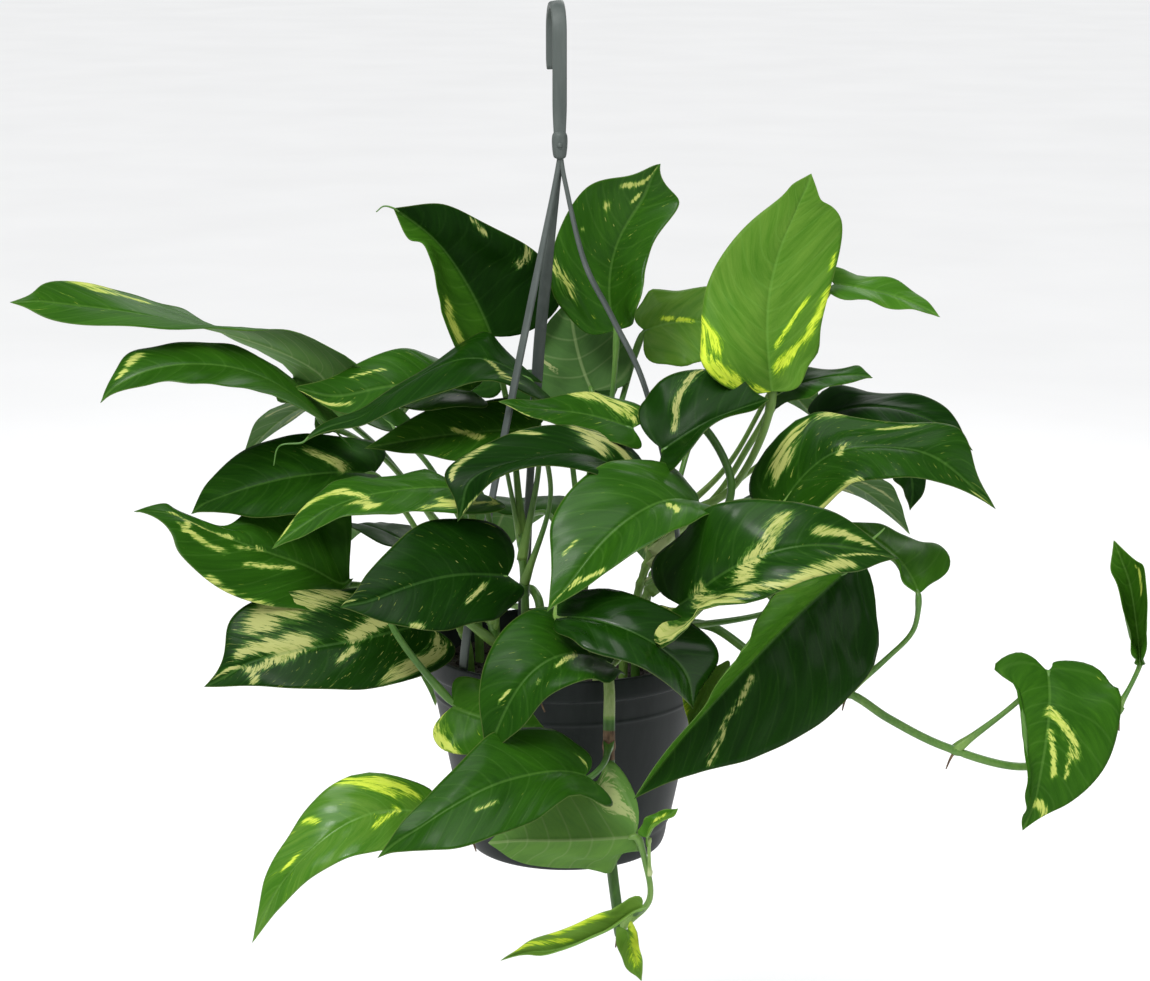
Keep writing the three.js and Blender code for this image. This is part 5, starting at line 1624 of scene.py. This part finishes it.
                    left(0.65, 14, at=(731, 374)), left(0.16, 14, at=(638, 410)),
                    right(0.65, 14, at=(736, 419)), right(0.45, 16, at=(708, 434)),
                    right(0.25, 16, at=(686, 455))],
             pale=[streak(2.5, at=(674, 429), to=(695, 373))]),
        leaf(start=(44, -28, 147), bend=[(84, -30, 172)], base=(112, -30, 193), mid=[(158, -38, 227)],
             tip=(216, -46, 194), face=(-0.1, -0.65, 0.75), width=58, fold=(16, 22), curl=(-10, -30),
             tone=0.34, gloss=0.5, fleck=0.8,
             goals=[left(0.45, 22, at=(872, 423)), left(0.25, 16, at=(814, 413)),
                    left(0.65, 18, at=(936, 425)), left(0.8, 14, at=(966, 440)), rib(1, 8, at=(994, 506))],
             pale=[streak(3.5, at=(823, 415), to=(845, 415)), streak(3, at=(780, 470), to=(790, 440)),
                   streak(2, at=(840, 455), to=(850, 445)), streak(3, at=(838, 500), to=(860, 480)),
                   streak(2, at=(885, 430), to=(925, 425)), streak(4, at=(985, 500), to=(988, 503))]),
    ]),
    stem("stem_front_right", root=(36, -40), route=[
        (37, -42, 116), (46, -50, 130)], leaves=[
        leaf(start=(45, -47, 128), bend=[(54, -72, 140)], base=(57, -98, 155), mid=[(104, -122, 189)],
             tip=(164, -98, 180), face=(-0.1, -0.8, 0.6), width=60, curl=-16, tone=0.3, gloss=0.6,
             fleck=0.5, pulls=[(0, 0.85, 15, (0, -30, 7))], together=True,
             goals=[right(0.65, 18, at=(822, 574)), right(0.45, 20, at=(783, 591)),
                    right(0.25, 17, at=(745, 603)), right(0.22, 12, at=(696, 612)),
                    right(0.18, 10, at=(682, 634)), right(0.06, 10, at=(656, 606)),
                    right(0.1, 10, at=(650, 622)), right(0.14, 10, at=(661, 646)),
                    left(0.25, 18, at=(706, 509)), left(0.16, 16, at=(652, 560))],
             pale=[streak(6, at=(745, 580), to=(762, 545)), streak(5, at=(762, 545), to=(788, 518)),
                   streak(4.5, at=(698, 592), to=(740, 596)), streak(5, at=(750, 588), to=(800, 590)),
                   streak(5, at=(800, 590), to=(850, 563)), streak(5, at=(820, 530), to=(870, 545)),
                   streak(2, at=(835, 555), to=(885, 555)), streak(8, at=(657, 616), to=(664, 636))]),
        # Its right half, folded sharply up, is set lighter than the left: painted light on the fold that
        # turns to the lamps.
        leaf(start=(46, -48, 129), bend=[(110, -42, 140), (140, -48, 164)], base=(144, -56, 164),
             mid=[(96, -86, 127)], tip=(34, -114, 61), face=(0.35, -0.85, 0.35), width=92, fold=(8, 60),
             curl=(-14, 30), tone=(0.22, 0.74), gloss=0.5, fleck=0.1,
             goals=[left(0.08, 16, at=(868, 564)), left(0.16, 16, at=(876, 600)),
                    left(0.2, 18, at=(878, 645)), left(0.25, 20, at=(866, 676)),
                    left(0.45, 22, at=(822, 722)), left(0.65, 20, at=(756, 754)),
                    left(0.8, 16, at=(700, 771)), right(0.25, 16, at=(800, 588)),
                    right(0.35, 16, at=(775, 602)), right(0.45, 16, at=(756, 625)),
                    right(0.6, 14, at=(735, 662)), right(0.8, 12, at=(702, 710))],
             pale=[streak(3, at=(707, 765), to=(725, 720)), streak(3, at=(725, 720), to=(749, 679))]),
    ]),
    stem("stem_trailing_right", root=(57, 4), route=[
        (59, 3, 118), (76, -4, 120), (98, -16, 108), (122, -30, 95), (148, -32, 91),
        (168, -36, 79), (197, -40, 65), (239, -40, 54), (268, -36, 62), (290, -34, 85)], leaves=[
        leaf(start=(146, -32, 91), bend=[(168, -18, 106), (182, -18, 122)], base=(184, -20, 142),
             mid=[(172, 8, 158)], tip=(150, 32, 168), face=(0.3, -0.7, 0.65), width=46, curl=-10, tone=0.62,
             gloss=0.25, fleck=0.05, lobe=-0.12,
             goals=[right(0.25, 12, at=(952, 552)), right(0.16, 10, at=(945, 573)),
                    right(0.65, 12, at=(905, 536)), left(0.16, 10, at=(893, 567)),
                    left(0.25, 12, at=(880, 556))]),
        leaf(start=(203, -40, 63), bend=[(234, -42, 90)], base=(249, -44, 107), mid=[(246, -64, 76)],
             tip=(237, -60, 26), face=(0.1, -0.9, 0.4), width=66, fold=8, tone=0.55, gloss=0.3, fleck=0.1,
             together=True,
             goals=[left(0.08, 11, at=(1060, 661)), left(0.16, 12, at=(1093, 665)),
                    left(0.25, 13, at=(1121, 697)), left(0.35, 13, at=(1117, 728)),
                    left(0.45, 13, at=(1110, 753)), left(0.65, 14, at=(1090, 783)),
                    left(0.8, 12, at=(1066, 804)), right(0.06, 9, at=(1034, 657)),
                    right(0.12, 9, at=(1013, 652)), right(0.17, 9, at=(994, 666)),
                    right(0.22, 9, at=(1011, 682)), right(0.27, 11, at=(1018, 702)),
                    right(0.4, 12, at=(1024, 735)), right(0.55, 12, at=(1026, 762)),
                    right(0.68, 11, at=(1027, 785)), right(0.82, 10, at=(1027, 808)),
                    rib(1, 8, at=(1024, 829))],
             pale=[streak(4, at=(1050, 707), to=(1077, 755)), streak(3, at=(1050, 735), to=(1055, 770)),
                   streak(2, at=(1068, 755), to=(1065, 775)), streak(3, at=(1035, 800), to=(1050, 815))]),
        leaf(start=(288, -34, 83), base=(299, -30, 106), mid=[(293, -34, 142)], tip=(282, -34, 174),
             face=(-0.2, -0.95, 0.1), width=38, fold=(30, 30), curl=(60, 60), tone=0.6, fleck=0.1,
             lobe=-0.05,
             goals=[left(0.65, 10, at=(1114, 583)), left(0.45, 10, at=(1122, 608)),
                    left(0.25, 10, at=(1131, 640)), left(0.12, 8, at=(1136, 658)),
                    right(0.65, 10, at=(1145, 572)), right(0.45, 12, at=(1148, 592)),
                    right(0.25, 12, at=(1147, 630)), right(0.12, 8, at=(1143, 658))],
             pale=[streak(2, at=(1135, 565), to=(1142, 590))]),
    ]),
    stem("stem_hanging_front", root=(16, -54), light=0.22, slim=1.35, brown=[(74, 90)],
         pale=[(95, 118)], route=[
        (17, -57, 117), (20, -72, 121), (22, -84, 111), (22, -90, 92), (22, -92, 60),
        (23, -95, 25), (28, -106, -14)], leaves=[
        leaf(start=(20, -70, 121), bend=[(30, -86, 130)], base=(23, -99, 126), mid=[(-12, -127, 133)],
             tip=(-39, -134, 87), face=(-0.1, -0.8, 0.6), width=58, curl=-16, tone=0.36, fleck=0.7,
             light=0.8,
             goals=[left(0.65, 14, at=(545, 703)), left(0.45, 16, at=(573, 689)),
                    left(0.25, 16, at=(597, 680)), left(0.16, 14, at=(622, 674))],
             pale=[streak(3, at=(560, 665), to=(575, 655)), streak(1.5, at=(540, 680), to=(541, 681)),
                   streak(1.5, at=(500, 700), to=(510, 690))]),
        leaf(start=(17, -60, 119), bend=[(0, -84, 160)], base=(-4, -112, 154), mid=[(38, -130, 148)],
             tip=(62, -118, 109), face=(0.2, -0.75, 0.6), width=54, curl=-16, tone=0.22, gloss=0.95,
             fleck=0.05, lobe=0.03, light=0.8,
             goals=[left(0.16, 14, at=(578, 590)), left(0.25, 18, at=(620, 590)),
                    left(0.45, 18, at=(662, 607)), left(0.65, 16, at=(700, 634)),
                    left(0.8, 14, at=(716, 662)), right(0.16, 14, at=(568, 640)),
                    right(0.25, 16, at=(590, 656)), right(0.45, 16, at=(620, 665)),
                    right(0.65, 16, at=(650, 671)), right(0.8, 12, at=(674, 688))]),
        leaf(start=(22, -92, 82), bend=[(19, -110, 78)], base=(11, -126, 76), mid=[(-41, -156, 80)],
             tip=(-93, -168, 47), face=(-0.1, -0.75, 0.65), width=56, tone=0.42, gloss=0.45,
             goals=[right(0.92, 10, at=(390, 836)), right(0.8, 14, at=(416, 803)),
                    right(0.65, 16, at=(443, 777)), right(0.45, 18, at=(478, 743)),
                    right(0.16, 16, at=(575, 742)), left(0.35, 16, at=(520, 827)),
                    left(0.65, 16, at=(460, 846)), left(0.2, 20, at=(580, 795))],
             pale=[streak(1, at=(480, 808), to=(500, 800)), streak(2, at=(575, 755), to=(580, 760))]),
        # Its wide pale streak is partly the lobe's own pale underside and partly painted light, lifting the
        # lobe out of the shade of the leaf above.
        leaf(start=(28, -105, -10), bend=[(42, -114, 8), (40, -116, 28)], base=(35, -117, 42),
             mid=[(-3, -121, 41)], tip=(-39, -112, 37), face=(0, 0.85, -0.5), width=68, fold=(6, 34),
             curl=(4, 14), tone=0.68, gloss=0.3, fleck=0.1, light=0.6,
             goals=[right(0.92, 10, at=(501, 853)), right(0.8, 14, at=(517, 866)),
                    right(0.65, 16, at=(535, 875)), right(0.45, 18, at=(567, 879)),
                    right(0.25, 18, at=(597, 870)), right(0.16, 14, at=(626, 851)),
                    left(0.16, 14, at=(614, 762)), left(0.25, 14, at=(590, 785))],
             pale=[streak(6, at=(600, 785), to=(616, 806))]),
        leaf(start=(42, -116, 22), base=(41, -123, 43), mid=[(48, -125, 51)], tip=(56, -123, 59),
             face=(-0.4, -0.8, 0.5), width=16, fold=16, curl=10, tone=(0.7, 0.85), fleck=0.1, light=0.85,
             goals=[right(0.25, 8, at=(653, 833)), right(0.5, 8, at=(661, 822))],
             pale=[streak(3, at=(655, 822), to=(663, 816))]),
        leaf(start=(27, -104, -8), bend=[(36, -112, 0)], base=(38, -126, 8), mid=[(7, -136, 2)],
             tip=(-31, -140, -16), face=(0.1, -0.5, 0.85), width=20, fold=50, curl=14, tone=1, gloss=0.5,
             fleck=0, lobe=0.02,
             goals=[right(0.65, 12, at=(552, 928)), right(0.45, 12, at=(582, 917)),
                    right(0.25, 12, at=(612, 909)), left(0.65, 12, at=(546, 950)),
                    left(0.45, 12, at=(576, 941)), left(0.25, 12, at=(608, 929)), rib(1, 8, at=(503, 959))],
             pale=[streak(3, at=(550, 922), to=(600, 912)), streak(2.5, at=(515, 948), to=(560, 942))]),
        leaf(start=(28, -106, -13), base=(31, -114, -8), mid=[(34, -120, -18)], tip=(38, -122, -32),
             face=(-0.3, -0.9, 0.3), width=15, fold=30, curl=20, tone=0.95, fleck=0,
             pale=[streak(5, at=(626, 925), to=(636, 960))]),
    ]),
    stem("stem_low_front_left", root=(-12, -56), roots=[((-23, -74, 117), (16, -14, -18), 22)], route=[
        (-13, -59, 116), (-20, -72, 120), (-28, -82, 108), (-36, -84, 80), (-44, -86, 50),
        (-50, -92, 34)], leaves=[
        leaf(start=(-49, -90, 36), bend=[(-60, -102, 40)], base=(-70, -110, 52), mid=[(-113, -136, 51)],
             tip=(-154, -142, -4), face=(-0.2, -0.75, 0.6), width=46, curl=-16, tone=0.8, gloss=0.95,
             fleck=0.5,
             goals=[right(0.65, 14, at=(286, 840)), left(0.8, 14, at=(290, 900)),
                    left(0.65, 14, at=(316, 877)), left(0.45, 16, at=(348, 858))],
             pale=[streak(6, at=(355, 780), to=(385, 790)), streak(4, at=(395, 780), to=(415, 795)),
                   streak(3, at=(285, 868), to=(295, 858)), streak(2, at=(310, 815), to=(320, 820)),
                   streak(3, at=(375, 825), to=(400, 810))]),
    ]),
    stem("stem_curled_front", root=(50, -27), route=[
        (51, -29, 112), (58, -42, 119)], leaves=[
        # The broad pale wash laid just off its right margin is painted light, lifting the curled leaf out of
        # the shade of the leaves above; its full green is partly its own light green, partly painted light
        # too.
        leaf(start=(57, -41, 118), bend=[(70, -62, 124)], base=(75, -76, 118), mid=[(70, -84, 106)],
             tip=(62, -92, 92), face=(-0.3, -0.9, 0.3), width=30, fold=24, curl=40, tone=1, fleck=0,
             streaks=[(0, 1.5, 1, 1.5, 11)]),
    ]),
    stem("stem_back_left", root=(-38, 38), route=[
        (-40, 40, 125), (-50, 50, 155)], leaves=[
        leaf(start=(-49, 49, 150), bend=[(-76, 60, 195)], base=(-96, 70, 214), mid=[(-138, 92, 222)],
             tip=(-182, 108, 186), face=(-0.25, 0.3, 0.9), width=60, curl=-16, tone=0.4, fleck=0.3,
             streaks=[(0.35, 0.5, 0.7, 0.8, 3), (0.5, -0.5, 0.62, -0.75, 2.5)]),
        leaf(start=(-50, 50, 154), bend=[(-58, 76, 210)], base=(-62, 98, 228), mid=[(-76, 142, 236)],
             tip=(-96, 180, 196), face=(-0.15, 0.45, 0.88), width=62, tone=0.3, gloss=0.35,
             streaks=[(0.2, 0.4, 0.5, 0.9, 3)]),
        leaf(start=(-44, 44, 136), bend=[(-72, 58, 150)], base=(-92, 68, 150), mid=[(-128, 96, 148)],
             tip=(-152, 124, 106), face=(-0.45, 0.6, 0.65), width=56, tone=0.45, fleck=0.4,
             streaks=[(0.3, -0.3, 0.55, -0.8, 3.5), (0.6, 0.3, 0.72, 0.5, 2)]),
    ]),
    stem("stem_back", root=(6, 52), route=[
        (6, 55, 125), (8, 64, 155)], leaves=[
        leaf(start=(8, 63, 150), bend=[(2, 82, 200)], base=(-2, 104, 218), mid=[(4, 148, 228)],
             tip=(16, 188, 190), face=(0, 0.45, 0.88), width=64, tone=0.35, fleck=0.3,
             streaks=[(0.25, -0.4, 0.55, -0.85, 3.5), (0.6, 0.4, 0.75, 0.6, 2)]),
        leaf(start=(7, 58, 135), bend=[(-10, 78, 162)], base=(-20, 92, 160), mid=[(-34, 130, 154)],
             tip=(-48, 154, 106), face=(-0.2, 0.75, 0.6), width=58, gloss=0.45,
             streaks=[(0.3, 0.2, 0.5, 0.7, 2.5)]),
        leaf(start=(7, 60, 142), bend=[(24, 80, 158)], base=(34, 96, 150), mid=[(50, 128, 142)],
             tip=(60, 148, 96), face=(0.2, 0.75, 0.6), width=54, tone=0.42, gloss=0.35, fleck=0.5,
             streaks=[(0.2, 0.3, 0.6, 0.9, 4), (0.5, -0.4, 0.7, -0.7, 3)]),
    ]),
    stem("stem_back_right", root=(42, 38), route=[
        (44, 40, 125), (54, 48, 155)], leaves=[
        leaf(start=(53, 47, 151), bend=[(66, 64, 200)], base=(76, 82, 222), mid=[(108, 116, 232)],
             tip=(144, 142, 200), face=(0.2, 0.45, 0.87), width=64, tone=0.45, fleck=0.3,
             streaks=[(0.3, 0.4, 0.6, 0.8, 3)]),
        leaf(start=(52, 46, 145), bend=[(86, 54, 172)], base=(112, 62, 176), mid=[(152, 82, 180)],
             tip=(192, 96, 146), face=(0.3, 0.4, 0.87), width=60, tone=0.32, gloss=0.35,
             streaks=[(0.25, -0.3, 0.55, -0.85, 3.5), (0.55, 0.4, 0.7, 0.7, 2)]),
        leaf(start=(48, 43, 136), bend=[(72, 62, 138)], base=(88, 76, 130), mid=[(114, 106, 124)],
             tip=(128, 132, 80), face=(0.45, 0.6, 0.65), width=56, fleck=0.3,
             streaks=[(0.4, 0.3, 0.6, 0.7, 3)]),
    ]),
    stem("stem_trailing_back", root=(-14, 56), route=[
        (-15, 59, 117), (-20, 72, 121), (-24, 86, 108), (-22, 90, 70), (-14, 94, 30),
        (-4, 104, -8)], leaves=[
        leaf(start=(-24, 86, 106), bend=[(-34, 98, 104)], base=(-44, 106, 96), mid=[(-66, 124, 80)],
             tip=(-76, 130, 36), face=(-0.4, 0.8, 0.45), width=50, tone=0.58, gloss=0.45,
             streaks=[(0.3, 0.3, 0.6, 0.8, 3)]),
        leaf(start=(-18, 92, 50), bend=[(-2, 104, 60)], base=(12, 112, 56), mid=[(38, 128, 46)],
             tip=(54, 132, 4), face=(0.2, 0.85, 0.5), width=48, tone=0.6, fleck=0.3,
             streaks=[(0.3, -0.3, 0.6, -0.8, 3.5)]),
        leaf(start=(-5, 103, -5), base=(-12, 110, -8), mid=[(-26, 120, -18)], tip=(-36, 122, -36),
             face=(-0.2, 0.85, 0.5), width=26, fold=14, curl=-10, tone=0.75, gloss=0.5, fleck=0),
    ]),
]
print(len(stems), 'stems,', sum(len(plant['leaves']) for plant in stems), 'leaves')

# %% [markdown]
# ### Pulling the blades to their goals
# With every leaf known, the goals are turned into pulls, and the streaks' pixels into places on the
# leaf. From here on each leaf has only sizes and places of its own, and the picture isn't used again.

# %% Fit every blade
for plant in stems:
    for one in plant["leaves"]:
        fit(one)
        print(plant["node"], len(one["pulls"]), "pulls and", len(one["streaks"]), "streaks")

# %% [markdown]
# ## Grow the plant
# Each stem with its stalks and blades is built as one skin of two finishes.

# %% Build every stem
STEM_SEED = 100
LEAF_SEEDS = 20           # one seed for each stem and place


def grow(plant, number):
    skin = Skin()
    draw = random.Random(STEM_SEED + number)
    add_stem(skin, plant, draw)
    for place, one in enumerate(plant["leaves"]):
        add_stalk(skin, one, plant["light"] if one["light"] is None else one["light"])
        if one["tail"]:
            add_tail(skin, one)
        add_blade(skin, one, number + LEAF_SEEDS * place)
    piece = skin.build(plant["node"] + "_grown", [pothos_stalk, pothos_leaf])
    dress(piece, plant["node"])
    return piece


grown = [grow(plant, number) for number, plant in enumerate(stems)]
print(sum(len(piece.data.polygons) for piece in grown), "faces on", len(grown), "stems")
